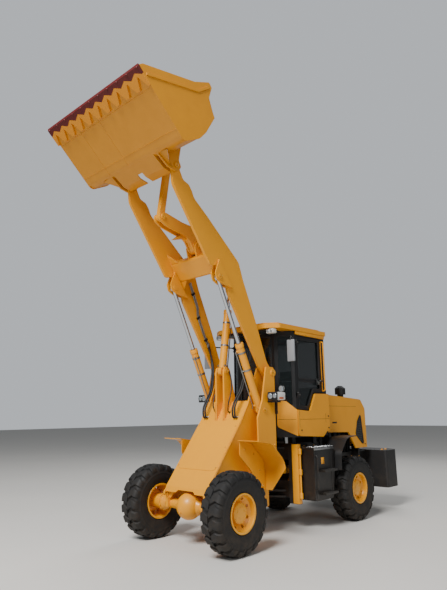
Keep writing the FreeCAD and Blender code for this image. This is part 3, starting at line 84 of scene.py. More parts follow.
class Grain(Enum):
    """How a finish's surface is broken up."""

    ORANGE_PEEL = "sprayed enamel"
    CAST = "sand-cast skin"
    DRAWN = "drawn or ground metal"
    MOULDED = "moulded texture"


def linear(value: str) -> tuple[float, float, float, float]:
    """Turn an sRGB hex colour into linear light.

    Args:
        value: six hex digits.

    Returns:
        Linear red, green, blue and an alpha of one.
    """
    parts = [int(value[i:i + 2], 16) / 255 for i in (0, 2, 4)]
    light = [c / 12.92 if c <= 0.04045 else ((c + 0.055) / 1.055) ** 2.4 for c in parts]
    return (light[0], light[1], light[2], 1.0)


def add_node(tree: bpy.types.NodeTree, kind: str, links: dict | None = None, **settings) -> bpy.types.Node:
    """Add one shader node with its settings and incoming links.

    Args:
        tree: the node tree.
        kind: Blender's node type name, after "ShaderNode".
        links: input name or index to an output socket or a plain value.
        settings: attributes set on the node.

    Returns:
        The new node.
    """
    node = tree.nodes.new("ShaderNode" + kind)
    for key, value in settings.items():
        setattr(node, key, value)
    for key, source in (links or {}).items():
        if isinstance(source, Socket):
            tree.links.new(source, node.inputs[key])
        else:
            node.inputs[key].default_value = source
    return node


class Net:
    """A material's nodes under construction. Pattern sizes are in millimetres."""

    def __init__(self, name: str) -> None:
        self.material = bpy.data.materials.new(name)
        self.material.use_nodes = True
        self.tree = self.material.node_tree
        self.shader = self.tree.nodes["Principled BSDF"]
        self.place = add_node(self.tree, "TexCoord").outputs["Object"]

    def noise(self, size_mm: float, detail: float = 2.0, roughness: float = 0.5,
              vector: Socket | None = None) -> Socket:
        """Noise with features of a real size."""
        return add_node(self.tree, "TexNoise", {"Vector": vector or self.place, "Scale": 1000 / size_mm,
                                                "Detail": detail, "Roughness": roughness}).outputs["Fac"]

    def mix(self, share: Socket, first: object, second: object) -> Socket:
        """Blend two colours."""
        return add_node(self.tree, "Mix", {"Factor": share, 6: first, 7: second}, data_type="RGBA").outputs[2]

    def calc(self, operation: str, *terms: object) -> Socket:
        """One arithmetic step."""
        return add_node(self.tree, "Math", dict(enumerate(terms)), operation=operation).outputs[0]

    def ranged(self, value: Socket, start: float, end: float, to_start: float, to_end: float) -> Socket:
        """Map one range of values to another."""
        return add_node(self.tree, "MapRange", {"Value": value, "From Min": start, "From Max": end,
                                                "To Min": to_start, "To Max": to_end}).outputs["Result"]

    def rounded(self, radius_mm: float) -> Socket:
        """The normal with its sharp edges rounded."""
        return add_node(self.tree, "Bevel", {"Radius": radius_mm / 1000}, samples=4).outputs[0]

    def set(self, **values: object) -> None:
        """Feed the shader's sockets, whose names have an underscore for each space."""
        for key, value in values.items():
            socket = self.shader.inputs[key.replace("_", " ")]
            if isinstance(value, Socket):
                self.tree.links.new(value, socket)
            else:
                socket.default_value = value


# Dry ground's brown-grey dust.
DUST = "8a6f50"
# Sizes of the dust's spots, and of the noise that breaks up the edge colour (rubbed wear and painted edge
# highlight).
DUST_SPOT_MM, RUB_AND_HIGHLIGHT_MM = 90.0, 40.0
# The body's enamel as it shows on the bucket behind the red edge, and the scallops of that edge's paint.
BEHIND_EDGE = "e08f00"
SCALLOP_PITCH_MM, SCALLOP_SLOPE = 201.0, 0.5


@dataclass(frozen=True)
class Finish:
    """A rigid surface: its colours, gloss, grain, dust, and an edge colour that is rubbed wear on some finishes
    and a painted highlight on others.

    Sizes of patterns are real, in millimetres. The slot is the record's material that it stands for.
    """

    name: str
    slot: str
    colour: str
    tone: str
    roughness: float
    metallic: float = 0.0
    coat: float = 0.0
    grain: Grain = Grain.ORANGE_PEEL
    grain_mm: float = 6.0
    grain_depth: float = 0.06
    blotch_mm: float = 320.0
    dust_top: float = 0.0
    dust_share: float = 0.0
    # Colour mixed into sharp edges: rubbed paint or bare steel, and where it is a lighter tint of the body colour,
    # a painted highlight.
    edge: str = ""
    edge_mm: float = 5.0
    alpha: float = 1.0
    painted_from: float = 0.0

    def make(self) -> bpy.types.Material:
        """Build the material once and return it.

        Returns:
            The Blender material.
        """
        known = bpy.data.materials.get(self.name)
        if known:
            return known
        net = Net(self.name)
        net.set(Metallic=self.metallic, Coat_Weight=self.coat, Coat_Roughness=0.12, Alpha=self.alpha)
        blotch = net.noise(self.blotch_mm, 5.0, 0.6)
        colour = net.mix(blotch, linear(self.colour), linear(self.tone))
        if self.painted_from > 0:
            colour = self._half_painted(net, colour)
        if self.dust_share > 0:
            colour = self._dusted(net, colour)
        # Edge colour: partly rubbed wear, partly painted highlight along sharp edges.
        if self.edge:
            colour = self._worn(net, colour)
        gloss = net.ranged(blotch, 0.3, 0.7, max(0.02, self.roughness - 0.06), min(1.0, self.roughness + 0.08))
        net.set(Base_Color=colour, Roughness=gloss)
        self._bumped(net)
        return net.material

    def _dusted(self, net: Net, colour: Socket) -> Socket:
        """Lay dust on the lower parts, thinning upwards and broken by noise."""
        height = add_node(net.tree, "SeparateXYZ", {0: net.place}).outputs["Z"]
        low = net.ranged(height, 0.0, self.dust_top, 1.0, 0.0)
        crumbs = net.ranged(net.noise(DUST_SPOT_MM, 7.0, 0.7), 0.38, 0.66, 0.15, 1.0)
        share = net.calc("MULTIPLY", net.calc("MULTIPLY", low, crumbs), self.dust_share)
        return net.mix(share, colour, linear(DUST))

    def _half_painted(self, net: Net, colour: Socket) -> Socket:
        """Keep this colour on the bucket's front strip, in scallops, and the body's yellow behind it."""
        turned = add_node(net.tree, "VectorRotate", {"Vector": net.place, "Angle": math.radians(BUCKET.degrees),
                                                     "Center": (BUCKET.x / 1000, 0.0, BUCKET.z / 1000)},
                          rotation_type="Y_AXIS").outputs[0]
        parts = add_node(net.tree, "SeparateXYZ", {0: turned}).outputs
        wave = net.calc("PINGPONG", parts["Y"], SCALLOP_PITCH_MM / 2000)
        border = net.calc("MULTIPLY_ADD", wave, SCALLOP_SLOPE, (BUCKET.x + self.painted_from) / 1000)
        return net.mix(net.calc("GREATER_THAN", parts["X"], border), linear(BEHIND_EDGE), colour)

    def _worn(self, net: Net, colour: Socket) -> Socket:
        """Mix the edge colour into sharp edges, broken by noise: bare steel where handling rubs the red and pin
        paint, a lighter tint that is a painted highlight along the yellow, bucket, rim and white edges, and on the
        black finishes a grey that is partly rubbed paint and partly painted highlight.
        """
        true = add_node(net.tree, "NewGeometry").outputs["Normal"]
        facing = add_node(net.tree, "VectorMath", {0: net.rounded(self.edge_mm), 1: true},
                          operation="DOT_PRODUCT").outputs["Value"]
        share = net.calc("MULTIPLY", net.ranged(facing, 0.86, 0.99, 0.55, 0.0), net.noise(RUB_AND_HIGHLIGHT_MM, 4.0))
        return net.mix(share, colour, linear(self.edge))

    def _bumped(self, net: Net) -> None:
        """Raise the grain as bump, and round sharp edges in the shading."""
        if self.grain is Grain.DRAWN:
            stretched = add_node(net.tree, "Mapping", {"Vector": net.place, "Scale": (1.0, 1.0, 0.06)}).outputs[0]
            height = net.noise(self.grain_mm, vector=stretched)
        elif self.grain is Grain.MOULDED:
            height = add_node(net.tree, "TexVoronoi", {"Vector": net.place, "Scale": 1000 / self.grain_mm}
                              ).outputs["Distance"]
        else:
            height = net.noise(self.grain_mm, 3.0)
        links = {"Strength": self.grain_depth, "Distance": 0.001 * self.grain_mm, "Height": height}
        if self.edge:
            links["Normal"] = net.rounded(self.edge_mm)
        net.set(Normal=add_node(net.tree, "Bump", links).outputs[0])


# Sprayed alkyd enamel on steel: a deep warm yellow with a soft gloss and faint orange peel; its lighter edge tint
# is a painted highlight.
YELLOW_ENAMEL = Finish("yellow_alkyd_enamel", "machine_yellow", "f0a200", "e39500", 0.38, coat=0.1, grain_mm=5.0,
                       grain_depth=0.04, dust_top=1.4, dust_share=0.1, edge="f6a51c")
# The same enamel inside the bucket and on its wear faces, rubbed and slightly browner; its lighter edge tint is a
# painted highlight.
BUCKET_ENAMEL = Finish("rubbed_yellow_enamel", "machine_yellow", "dc9200", "c98300", 0.42, coat=0.12,
                       blotch_mm=220.0, grain_depth=0.05, edge="eda03a")
# Red oxide enamel on the bolted edge: dull dark red with chips of steel.
RED_ENAMEL = Finish("red_oxide_enamel", "dark_red", "6a0f0a", "470a08", 0.5, blotch_mm=80.0, edge="8d7f78",
                    edge_mm=4.0, painted_from=1128.0)
# Black chassis enamel: satin, dusty low down; its grey edges are partly rubbed paint, partly painted highlight.
BLACK_ENAMEL = Finish("black_chassis_enamel", "frame_black", "0d0e0f", "141516", 0.45, coat=0.1, dust_top=1.25,
                      dust_share=0.16, edge="35342f")
# Sand-cast iron under grey-black paint: coarse skin that breaks up the light; its grey edges are partly rubbed
# paint, partly painted highlight.
CAST_IRON = Finish("painted_cast_iron", "engine_iron", "111214", "1a1b1d", 0.6, grain=Grain.CAST, grain_mm=9.0,
                   grain_depth=0.25, dust_top=1.1, dust_share=0.15, edge="55534f")
# Vulcanised natural rubber: matt black with a grey-brown bloom of dust.
TYRE_RUBBER = Finish("vulcanised_tyre_rubber", "tyre_black", "0c0d0e", "141516", 0.72, grain=Grain.CAST,
                     grain_mm=4.0, grain_depth=0.12, dust_top=1.0, dust_share=0.12)
# Hard chrome plate on a ground rod: bright, with fine drawn lines.
HARD_CHROME = Finish("hard_chrome_plate", "rod_chrome", "c9ccd0", "b4b8bd", 0.14, metallic=1.0, grain=Grain.DRAWN,
                     grain_mm=2.0, grain_depth=0.03)
# Zinc-plated steel of bolts and fittings: pale grey metal, slightly dull.
ZINC_STEEL = Finish("zinc_plated_steel", "rod_chrome", "9a9b98", "83847f", 0.36, metallic=1.0, grain=Grain.DRAWN,
                    grain_mm=3.0)
# Rubber cover of braided hydraulic hose: satin black.
HOSE_RUBBER = Finish("nitrile_hose_cover", "plastic_black", "141415", "1f1f20", 0.55, grain=Grain.MOULDED,
                     grain_mm=3.0)
# Moulded polypropylene of arches and caps: mid-gloss black with a fine pebble.
BLACK_PLASTIC = Finish("moulded_polypropylene", "plastic_black", "0e0f10", "151618", 0.5, grain=Grain.MOULDED,
                       grain_mm=4.0, grain_depth=0.05, dust_top=1.2, dust_share=0.12)
# Black powder coat of the cab's pillars and doors: even and satin; its grey edges are partly rubbed coat, partly
# painted highlight.
CAB_COAT = Finish("black_powder_coat", "cab_black", "0b0c0d", "111214", 0.4, grain=Grain.MOULDED, grain_mm=3.0,
                  grain_depth=0.03, edge="3a3b3c")
# Toughened tinted float glass: dark, glossy and partly see-through.
TINTED_GLASS = Finish("tinted_float_glass", "cab_glass", "0e1716", "0a1211", 0.04, coat=0.5, grain_depth=0.0,
                      alpha=0.62)
# Clear polycarbonate over a bright reflector in the lamps.
LAMP_LENS = Finish("polycarbonate_lens", "lamp_white", "9aa3a8", "858f95", 0.08, metallic=0.35, coat=0.8,
                   grain_mm=9.0, grain_depth=0.25)
# Amber polycarbonate of the turn signals.
AMBER_LENS = Finish("amber_polycarbonate", "lamp_white", "c4560a", "b34a06", 0.12, coat=0.7, grain_depth=0.02)
# Silvered mirror glass.
MIRROR_GLASS = Finish("silvered_mirror_glass", "cab_glass", "b9c0c4", "adb4b9", 0.05, metallic=1.0,
                      grain_depth=0.0)
# Cast and sprayed engine iron.
ENGINE_PAINT = Finish("sprayed_engine_iron", "engine_iron", "2b2d2e", "1d1f20", 0.6, grain=Grain.CAST,
                      grain_mm=12.0, grain_depth=0.3)
# White acrylic of the lamps' shells; its whiter edge tint is a painted highlight.
LAMP_WHITE = Finish("white_acrylic_shell", "lamp_white", "d9d9d4", "c9c9c2", 0.28, coat=0.4, grain_depth=0.02,
                    edge="eeeeea")
# The wheel rims' enamel: the same yellow, baked and a little glossier; its lighter edge tint is a painted
# highlight.
RIM_ENAMEL = Finish("baked_rim_enamel", "rim_yellow", "f3aa00", "e69b00", 0.32, coat=0.2, grain_mm=5.0,
                    grain_depth=0.03, dust_top=1.0, dust_share=0.15, edge="f7ae3c")
# Pins, keepers and bolts painted over with the body: yellow enamel broken by bare steel.
PIN_STEEL = Finish("overpainted_pin_steel", "machine_yellow", "e59e00", "cd8c00", 0.36, coat=0.12, blotch_mm=60.0,
                   grain_depth=0.08, edge="b0a48a", edge_mm=3.0)
# Rolled aluminium tread plate: pale, dull and scuffed.
TREAD_ALUMINIUM = Finish("rolled_tread_aluminium", "rod_chrome", "a9abac", "8f9192", 0.4, metallic=1.0,
                         grain=Grain.DRAWN, grain_mm=4.0, dust_top=1.3, dust_share=0.3)
# Grey polypropylene of the mirror backs.
MIRROR_SHELL = Finish("grey_mirror_polypropylene", "plastic_black", "8d9093", "7d8084", 0.42, grain=Grain.MOULDED,
                      grain_mm=3.0, grain_depth=0.04)
# Red polycarbonate of the tail lamps.
RED_LENS = Finish("red_polycarbonate", "lamp_white", "8e0f0c", "760c0a", 0.12, coat=0.7, grain_depth=0.02)
# Plain pale concrete of the studio's floor, which stands for no material of the record.
STUDIO_FLOOR = Finish("pale_studio_floor", "", "cfccc6", "d6d3cd", 0.85, grain=Grain.CAST, grain_mm=40.0,
                      grain_depth=0.02, blotch_mm=2500.0)


@dataclass(frozen=True)
class Fabric:
    """Woven seat cloth: dark threads crossing at a pitch that shows in the picture."""

    name: str = "woven_polyester"
    slot: str = "seat_fabric"
    colour: str = "1d1f23"
    thread: str = "34383e"
    pitch_mm: float = 6.0

    def make(self) -> bpy.types.Material:
        """Build the cloth once and return it."""
        known = bpy.data.materials.get(self.name)
        if known:
            return known
        net = Net(self.name)
        weave = add_node(net.tree, "TexWave", {"Vector": net.place, "Scale": 1000 / self.pitch_mm / 6.28,
                                               "Distortion": 1.5}).outputs["Fac"]
        bump = add_node(net.tree, "Bump", {"Strength": 0.3, "Distance": 0.002, "Height": weave}).outputs[0]
        net.set(Roughness=0.85, Sheen_Weight=0.3, Normal=bump,
                Base_Color=net.mix(weave, linear(self.colour), linear(self.thread)))
        return net.material


NODE_FINISHES: tuple[tuple[Finish, tuple[str, ...]], ...] = (
    (TYRE_RUBBER, ("tyre_",)), (YELLOW_ENAMEL, ("rim_", "bucket_link")), (BUCKET_ENAMEL, ("bucket",)),
    (RED_ENAMEL, ("cutting_edge",)), (HARD_CHROME, ("lift_rod", "steer_rod", "tilt_cylinder_rod")),
    (BLACK_ENAMEL, ("rear_chassis", "side_tanks", "access_steps")), (CAST_IRON, ("counterweight",)),
    (ENGINE_PAINT, ("engine_block",)),
    (BLACK_PLASTIC, ("rear_fenders", "air_cleaner", "controls", "side_grilles", "mirrors")),
    (TINTED_GLASS, ("cab_glass", "door_glass")), (CAB_COAT, ("cab_shell", "door_", "seat")),
    (LAMP_WHITE, ("head_lamps",)), (YELLOW_ENAMEL, ("",)))


def dress_nodes(nodes: dict[str, bpy.types.Object]) -> None:
    """Give every carried-over solid the finish of its real material.

    Args:
        nodes: name to object, as the frame loads them.
    """
    for name, obj in nodes.items():
        finish = next(f for f, prefixes in NODE_FINISHES if name.startswith(prefixes))
        obj.data.materials.clear()
        obj.data.materials.append(finish.make())
        for polygon in obj.data.polygons:
            polygon.material_index = 0


@dataclass(frozen=True)
class Slope:
    """A side-view frame on the machine: an origin in X and Z, in millimetres, and a slope in degrees."""

    x: float
    z: float
    degrees: float

    def at(self, along: float, y: float, above: float) -> Vector:
        """Point so far along and above the sloping line, at a place across the machine."""
        c, s = math.cos(math.radians(self.degrees)), math.sin(math.radians(self.degrees))
        return Vector((self.x + along * c - above * s, y, self.z + along * s + above * c))

    def way(self, along: float, above: float) -> Vector:
        """Direction in this frame, as a vector in the row frame."""
        return self.at(along, 0, above) - self.at(0, 0, 0)


FRONT_AXLE_X, REAR_AXLE_X, AXLE_Z, WHEEL_Y = 1340.0, -1500.0, 482.5, 760.0
BOOM = Slope(240.0, 2230.0, 54.3)
TIP = BOOM.at(3253.0, 0.0, 0.0)
BUCKET = Slope(TIP.x, TIP.z, 43.0)
NOSE = Slope(FRONT_AXLE_X - 585.0, 1572.0, -math.degrees(math.atan2(870.0, 677.0)))


def circle(count: int, radius: float, shift: float = 0.0) -> list[tuple[float, float]]:
    """Places spread evenly round a circle.

    Args:
        count: how many.
        radius: the circle's.
        shift: turn of the first one, as a share of the spacing.

    Returns:
        Cosine and sine parts of each place.
    """
    angles = [FULL_TURN * (i + shift) / count for i in range(count)]
    return [(radius * math.cos(a), radius * math.sin(a)) for a in angles]


def smooth_line(line: list[Vector], per_span: int, ring: bool = False) -> list[Vector]:
    """Pass a smooth curve through the points.

    Args:
        line: the points.
        per_span: points on each span.
        ring: True when the line closes on itself.

    Returns:
        Points along the curve.
    """
    count = len(line)
    curve = []
    for i in range(count if ring else count - 1):
        p1, p2 = line[i], line[(i + 1) % count]
        p0 = line[i - 1] if ring or i else p1 * 2 - p2
        p3 = line[(i + 2) % count] if ring or i + 2 < count else p2 * 2 - p1
        for k in range(per_span):
            t = k / per_span
            curve.append(0.5 * (2 * p1 + (p2 - p0) * t + (2 * p0 - 5 * p1 + 4 * p2 - p3) * t * t
                                + (3 * p1 - p0 - 3 * p2 + p3) * t ** 3))
    return curve if ring else curve + [line[-1]]


def softened(corners: list[Vector], radius: float, steps: int = 4) -> list[Vector]:
    """Round the corners of a closed outline.

    Args:
        corners: the outline's corners.
        radius: how far before a corner its arc begins.
        steps: points on each arc.

    Returns:
        The rounded outline's points.
    """
    outline = []
    for i, here in enumerate(corners):
        back = here + (corners[i - 1] - here).normalized() * radius
        ahead = here + (corners[(i + 1) % len(corners)] - here).normalized() * radius
        for k in range(steps + 1):
            t = k / steps
            outline.append(back.lerp(here, t).lerp(here.lerp(ahead, t), t))
    return outline


class Shape:
    """One joined piece under construction.

    Its calls take millimetres in the row frame, as on the left side. A shape on the right mirrors them.
    """

    def __init__(self, side: Side = Side.LEFT) -> None:
        self.mesh = bmesh.new()
        self.side = side

    def own(self, point: Triple) -> tuple[float, float, float]:
        """A point or direction on the side being built."""
        x, y, z = point
        return x, y * self.side.value, z

    def loops(self, rows: list[list[Vector]], ring: bool = False) -> None:
        """Skin a run of equal vertex loops and close its ends, or join the last to the first for a ring."""
        made = [[self.mesh.verts.new(p) for p in row] for row in rows]
        for low, high in zip(made, made[1:] + (made[:1] if ring else [])):
            for i in range(len(low)):
                self.mesh.faces.new((low[i - 1], low[i], high[i], high[i - 1]))
        if not ring:
            self.mesh.faces.new(made[0])
            self.mesh.faces.new(made[-1])

    def lathe(self, rows: Outline, at: Triple, axis: Triple, steps: int = 24, ring: bool = False,
              phase: float = 0.0) -> None:
        """Turn (along, radius) rows about an axis; six steps make a hexagon."""
        centre = Vector(self.own(at))
        turn = Vector(self.own(axis)).normalized().to_track_quat("Z", "Y").to_matrix()
        angles = [FULL_TURN * i / steps + phase for i in range(steps)]
        self.loops([[centre + turn @ Vector((r * math.cos(a), r * math.sin(a), along)) for a in angles]
                    for along, r in rows], ring)

    def slab(self, outline: Iterable[Triple], push: Triple, bevel: float = 1.5, segments: int = 2) -> None:
        """Extrude a closed outline by a vector and round its edges."""
        low = [self.mesh.verts.new(Vector(self.own(p))) for p in outline]
        high = [self.mesh.verts.new(v.co + Vector(self.own(push))) for v in low]
        faces = [self.mesh.faces.new(low), self.mesh.faces.new(high[::-1])]
        faces += [self.mesh.faces.new((low[i], low[i - 1], high[i - 1], high[i])) for i in range(len(low))]
        if bevel > 0:
            edges = list({edge for face in faces for edge in face.edges})
            bmesh.ops.bevel(self.mesh, geom=edges, offset=bevel, segments=segments, profile=0.5,
                            affect="EDGES", clamp_overlap=True)

    def box(self, low: Triple, high: Triple, bevel: float = 2.0) -> None:
        """Rounded box between two corners."""
        (x0, y0, z0), (x1, y1, z1) = low, high
        self.slab([(x0, y0, z0), (x1, y0, z0), (x1, y1, z0), (x0, y1, z0)], (0, 0, z1 - z0), bevel)

    def tube(self, points: Sequence[Triple], radius: float, steps: int = 10, bend: int = 0, ripple: float = 0.0,
             ring: bool = False) -> None:
        """Sweep a round section along points; bend adds that many points a span on a smooth curve."""
        line = [Vector(self.own(p)) for p in points]
        if bend:
            line = smooth_line(line, bend, ring)
        count = len(line)
        normal = None
        rows = []
        for i, here in enumerate(line):
            before = line[i - 1] if ring or i else here
            after = line[(i + 1) % count] if ring or i + 1 < count else here
            ahead = (after - before).normalized()
            if normal is None:
                normal = ahead.orthogonal().normalized()
            normal = (normal - ahead * normal.dot(ahead)).normalized()
            side = ahead.cross(normal)
            section = circle(steps, radius * (1 + ripple * (-1) ** i))
            rows.append([here + normal * c + side * s for c, s in section])
        self.loops(rows, ring)

    def weld(self, start: Triple, end: Triple, radius: float = 4.0) -> None:
        """Fillet weld with the ripple of its passes, between two points."""
        a, b = Vector(start), Vector(end)
        count = max(3, int((b - a).length / WELD_PASS_MM))
        self.tube([a.lerp(b, i / count) for i in range(count + 1)], radius, 6, ripple=WELD_RIPPLE)

    def bolt(self, at: Triple, out: Triple = ACROSS, across: float = 24.0) -> None:
        """Chamfered hexagon head on its washer."""
        high, washer, corner = across * 0.5, across * 0.72, across * 0.56
        self.lathe([(-1, washer), (across * 0.1, washer), (across * 0.13, across * 0.66)], at, out, 14)
        self.lathe([(across * 0.12, corner), (high, corner), (high + 1.5, across * 0.47)], at, out, 6)
        self.lathe([(high, across * 0.42), (high + 1.6, across * 0.38)], at, out, 12)

    def band(self, centre: Triple, axis: Triple, radius: float, width: float = 26.0, thick: float = 3.0) -> None:
        """Flat clamp band round a barrel."""
        self.lathe([(-width / 2, radius), (-width / 2, radius + thick), (width / 2, radius + thick),
                    (width / 2, radius)], centre, axis, 28, ring=True)

    def pin_end(self, at: Triple, radius: float, out: Triple = ACROSS) -> None:
        """Keeper plate, two bolts and a grease nipple on the end of a pivot pin."""
        at, out = Vector(at), Vector(out)
        self.lathe([(-2, radius + 10), (3, radius + 10), (5, radius + 7), (5, radius - 3), (3, radius - 6)], at,
                   out, 30)
        flat = out.orthogonal().normalized() * radius * 0.55
        for shift in (-flat, flat):
            self.bolt(at + out * 4 + shift, out, 13)
        self.lathe([(-1, 7), (6, 7), (7, 5)], at + out * 3, out, 6)
        self.lathe([(6, 3.2), (11, 3), (12, 4.4), (16, 4.4), (18, 1.5)], at + out * 3, out, 10)

    def copied(self, move: Matrix, side: Side) -> "Shape":
        """The same shape moved, in millimetres."""
        other = Shape(side)
        other.mesh = self.mesh.copy()
        bmesh.ops.transform(other.mesh, matrix=move, verts=other.mesh.verts)
        return other

    def frozen(self, name: str) -> bpy.types.Mesh:
        """The shape as a mesh, which ends its construction."""
        data = bpy.data.meshes.new(name)
        self.mesh.to_mesh(data)
        self.mesh.free()
        return data

    def publish(self, name: str, finish: Finish | Fabric, body: str, slot: str = "",
                stands_for: Sequence[str] = (), sharp: float = 35.0,
                bend: tuple[str, Triple, Triple] | None = None) -> bpy.types.Object:
        """Turn the shape into an object in metres that rides on a body, or, when a bend is given, stays fixed in
        place.

        Args:
            name: the piece's name; {side} in it, or in the body's, stands for the side's word.
            finish: its material.
            body: the body it moves with.
            slot: the record's material slot, where it isn't the finish's own; not used.
            stands_for: solids that it replaces.
            sharp: edges steeper than this many degrees stay sharp.
            bend: a second body and where a bend would start and end, in metres; when given, the piece is neither
                bent nor attached to any body.

        Returns:
            The new object.
        """
        name, body = (text.format(side=self.side.word) for text in (name, body))
        bmesh.ops.scale(self.mesh, vec=(METRES,) * 3, verts=self.mesh.verts)
        bmesh.ops.recalc_face_normals(self.mesh, faces=self.mesh.faces)
        data = self.frozen(name)
        data.shade_smooth()
        data.set_sharp_from_angle(angle=math.radians(sharp))
        data.materials.append(finish.make())
        obj = bpy.data.objects.new(name, data)
        bpy.context.scene.collection.objects.link(obj)
        if bend:
            self.own(bend[1])
            self.own(bend[2])
            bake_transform(obj)
        else:
            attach(obj, body)
        if stands_for:
            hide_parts(*stands_for)
        slot or finish.slot
        LOG.info("%s: %d faces on %s", name, len(data.polygons), body)
        return obj


def sides(*shapes: Shape) -> Iterator[Side]:
    """Build the loop's body on the left and on the right, in the same shapes.

    Args:
        shapes: the shapes that the loop's body adds to.

    Yields:
        The side being built.
    """
    for side in Side:
        for shape in shapes:
            shape.side = side
        yield side
    for shape in shapes:
        shape.side = Side.LEFT


@dataclass(frozen=True)
class Wheels:
    """Four wheels: smooth tyres with chevron blocks, and dished rims with hand holes and nuts."""

    tread: float = 482.2
    tyre_radius: float = 482.5
    arc_radius: float = 482.0
    blocks: int = 20
    half_block: float = 52.0
    slant: float = 20.0
    hand_holes: int = 8
    nuts: int = 12
    hub_bolts: int = 5

    def tyre(self) -> Shape:
        """Casing with sidewall ribs, and two offset rows of tread blocks.

        Returns:
            The tyre about the Y axis through the origin, outer side at +Y.
        """
        wall = [(112, 222), (121, 226), (129, 236), (140, 250), (143, 254), (141.5, 258), (150, 282), (155.5, 304),
                (157.5, 324), (157, 345), (156, 362), (158, 366), (155.5, 370), (153.5, 390), (147, 412),
                (135, 436), (113.5, 452), (80, 456), (30, 457.5)]
        shape = Shape()
        shape.lathe(wall + [(-y, r) for y, r in wall[::-1]], (0, 0, 0), ACROSS, 96, ring=True)
        pitch = FULL_TURN / self.blocks
        phase = (math.pi - math.asin((self.half_block + self.slant) / self.tyre_radius)) / pitch % 1
        for i in range(self.blocks):
            for side, shift in ((1, phase), (-1, phase + 0.5)):
                self._block(shape, side, (i + shift) * pitch)
        return shape

    def _block(self, shape: Shape, side: int, angle: float) -> None:
        """One block: a bent bar whose top follows the tread and whose end wraps the shoulder."""
        path = ((4.5, 0.0, -22.0), (4.5, 0.0, -4.5), (9.0, 0.0, 0.0), (42.0, 0.5, 0.0), (75.0, 1.0, 0.0),
                (83.0, 1.0, 0.0), (104.0, 0.8, -1.0), (118.0, 0.62, -5.0), (135.0, 0.5, -16.0),
                (148.0, 0.42, -33.0), (153.0, 0.38, -50.0), (155.5, 0.36, -72.0), (150.0, 0.36, -76.0))
        columns = ((-1.1, -26.0), (-1.0, -5.0), (-0.9, 0.0), (-0.3, 0.0), (0.3, 0.0), (0.9, 0.0), (1.0, -5.0),
                   (1.1, -26.0))
        made = []
        for y, bent, drop in path:
            made.append([])
            for share, fall in columns:
                across = share * self.half_block * (1 - 0.12 * max(0.0, y - 100) / 55)
                turn = angle + (across + self.slant * (1 - 2 * bent)) / self.arc_radius
                radius = self.tread + drop + (fall if abs(share) > 1.05 else fall * (1 if y < 150 else 0.5))
                made[-1].append(shape.mesh.verts.new((radius * math.sin(turn), side * y, radius * math.cos(turn))))
        for low, high in zip(made, made[1:]):
            for i in range(1, len(low)):
                shape.mesh.faces.new((low[i - 1], low[i], high[i], high[i - 1]))

    def rim(self) -> Shape:
        """Flanged rim with its dished disc, hand holes, hub cover and wheel nuts."""
        blank, drill, rim = Shape(), Shape(), Shape()
        blank.lathe([(-140, 231), (-137, 233), (-131, 232), (-120, 223.5), (-112, 221.7), (112, 221.7),
                     (120, 223.5), (131, 232), (137, 233), (140, 231), (140, 211), (136, 207.7), (118, 206.5),
                     (76, 202), (67, 196), (39, 130), (34, 124), (34, 122), (80, 122), (84.5, 120), (88, 112),
                     (91, 100), (92, 96),
                     (92, 0.5), (-159.5, 0.5), (-159.5, 92), (14, 92), (14, 140), (54, 187.7), (-136, 207.7),
                     (-140, 211)], (0, 0, 0), ACROSS, 72, ring=True)
        for c, s in circle(self.hand_holes, 168, 0.5):
            drill.lathe([(-20, 18), (110, 18)], (s, 0, c), ACROSS, 16)
        bmesh.ops.recalc_face_normals(drill.mesh, faces=drill.mesh.faces)
        disc = bpy.data.objects.new("blank", blank.frozen("blank"))
        tool = bpy.data.objects.new("drill", drill.frozen("drill"))
        for obj in (disc, tool):
            bpy.context.scene.collection.objects.link(obj)
        cut = disc.modifiers.new("holes", "BOOLEAN")
        cut.operation, cut.solver, cut.object = "DIFFERENCE", "EXACT", tool
        rim.mesh.from_mesh(bpy.data.meshes.new_from_object(
            disc.evaluated_get(bpy.context.evaluated_depsgraph_get())))
        for obj in (disc, tool):
            bpy.data.objects.remove(obj)
        for count, radius, y, across in ((self.nuts, 105, 89, 11), (self.hub_bolts, 62, 92, 13)):
            for c, s in circle(count, radius):
                rim.bolt((s, y, c), ACROSS, across)
        rim.lathe([(90, 74), (93.5, 72.5), (93.5, 40)], (0, 0, 0), ACROSS, 40)
        rim.tube([(0, 92, 198), (0, 116, 196), (0, 128, 199)], 4.5, 8, bend=4)
        return rim

    def build(self) -> None:
        """Place a tyre and a rim at each corner."""
        tyre, rim = self.tyre(), self.rim()
        for end, x in (("front", FRONT_AXLE_X), ("rear", REAR_AXLE_X)):
            for side in Side:
                mirror = Matrix.Diagonal((1, side.value, 1, 1))
                move = Matrix.Translation((x, side.value * WHEEL_Y, AXLE_Z)) @ mirror
                corner = f"{end}_{side.word}"
                for shape, name, finish, node in ((tyre, "lugged_tyre_", TYRE_RUBBER, "tyre_"),
                                                  (rim, "dished_rim_", RIM_ENAMEL, "rim_")):
                    shape.copied(move, side).publish(name + corner, finish, f"wheel_{corner}",
                                                     stands_for=(node + corner,))


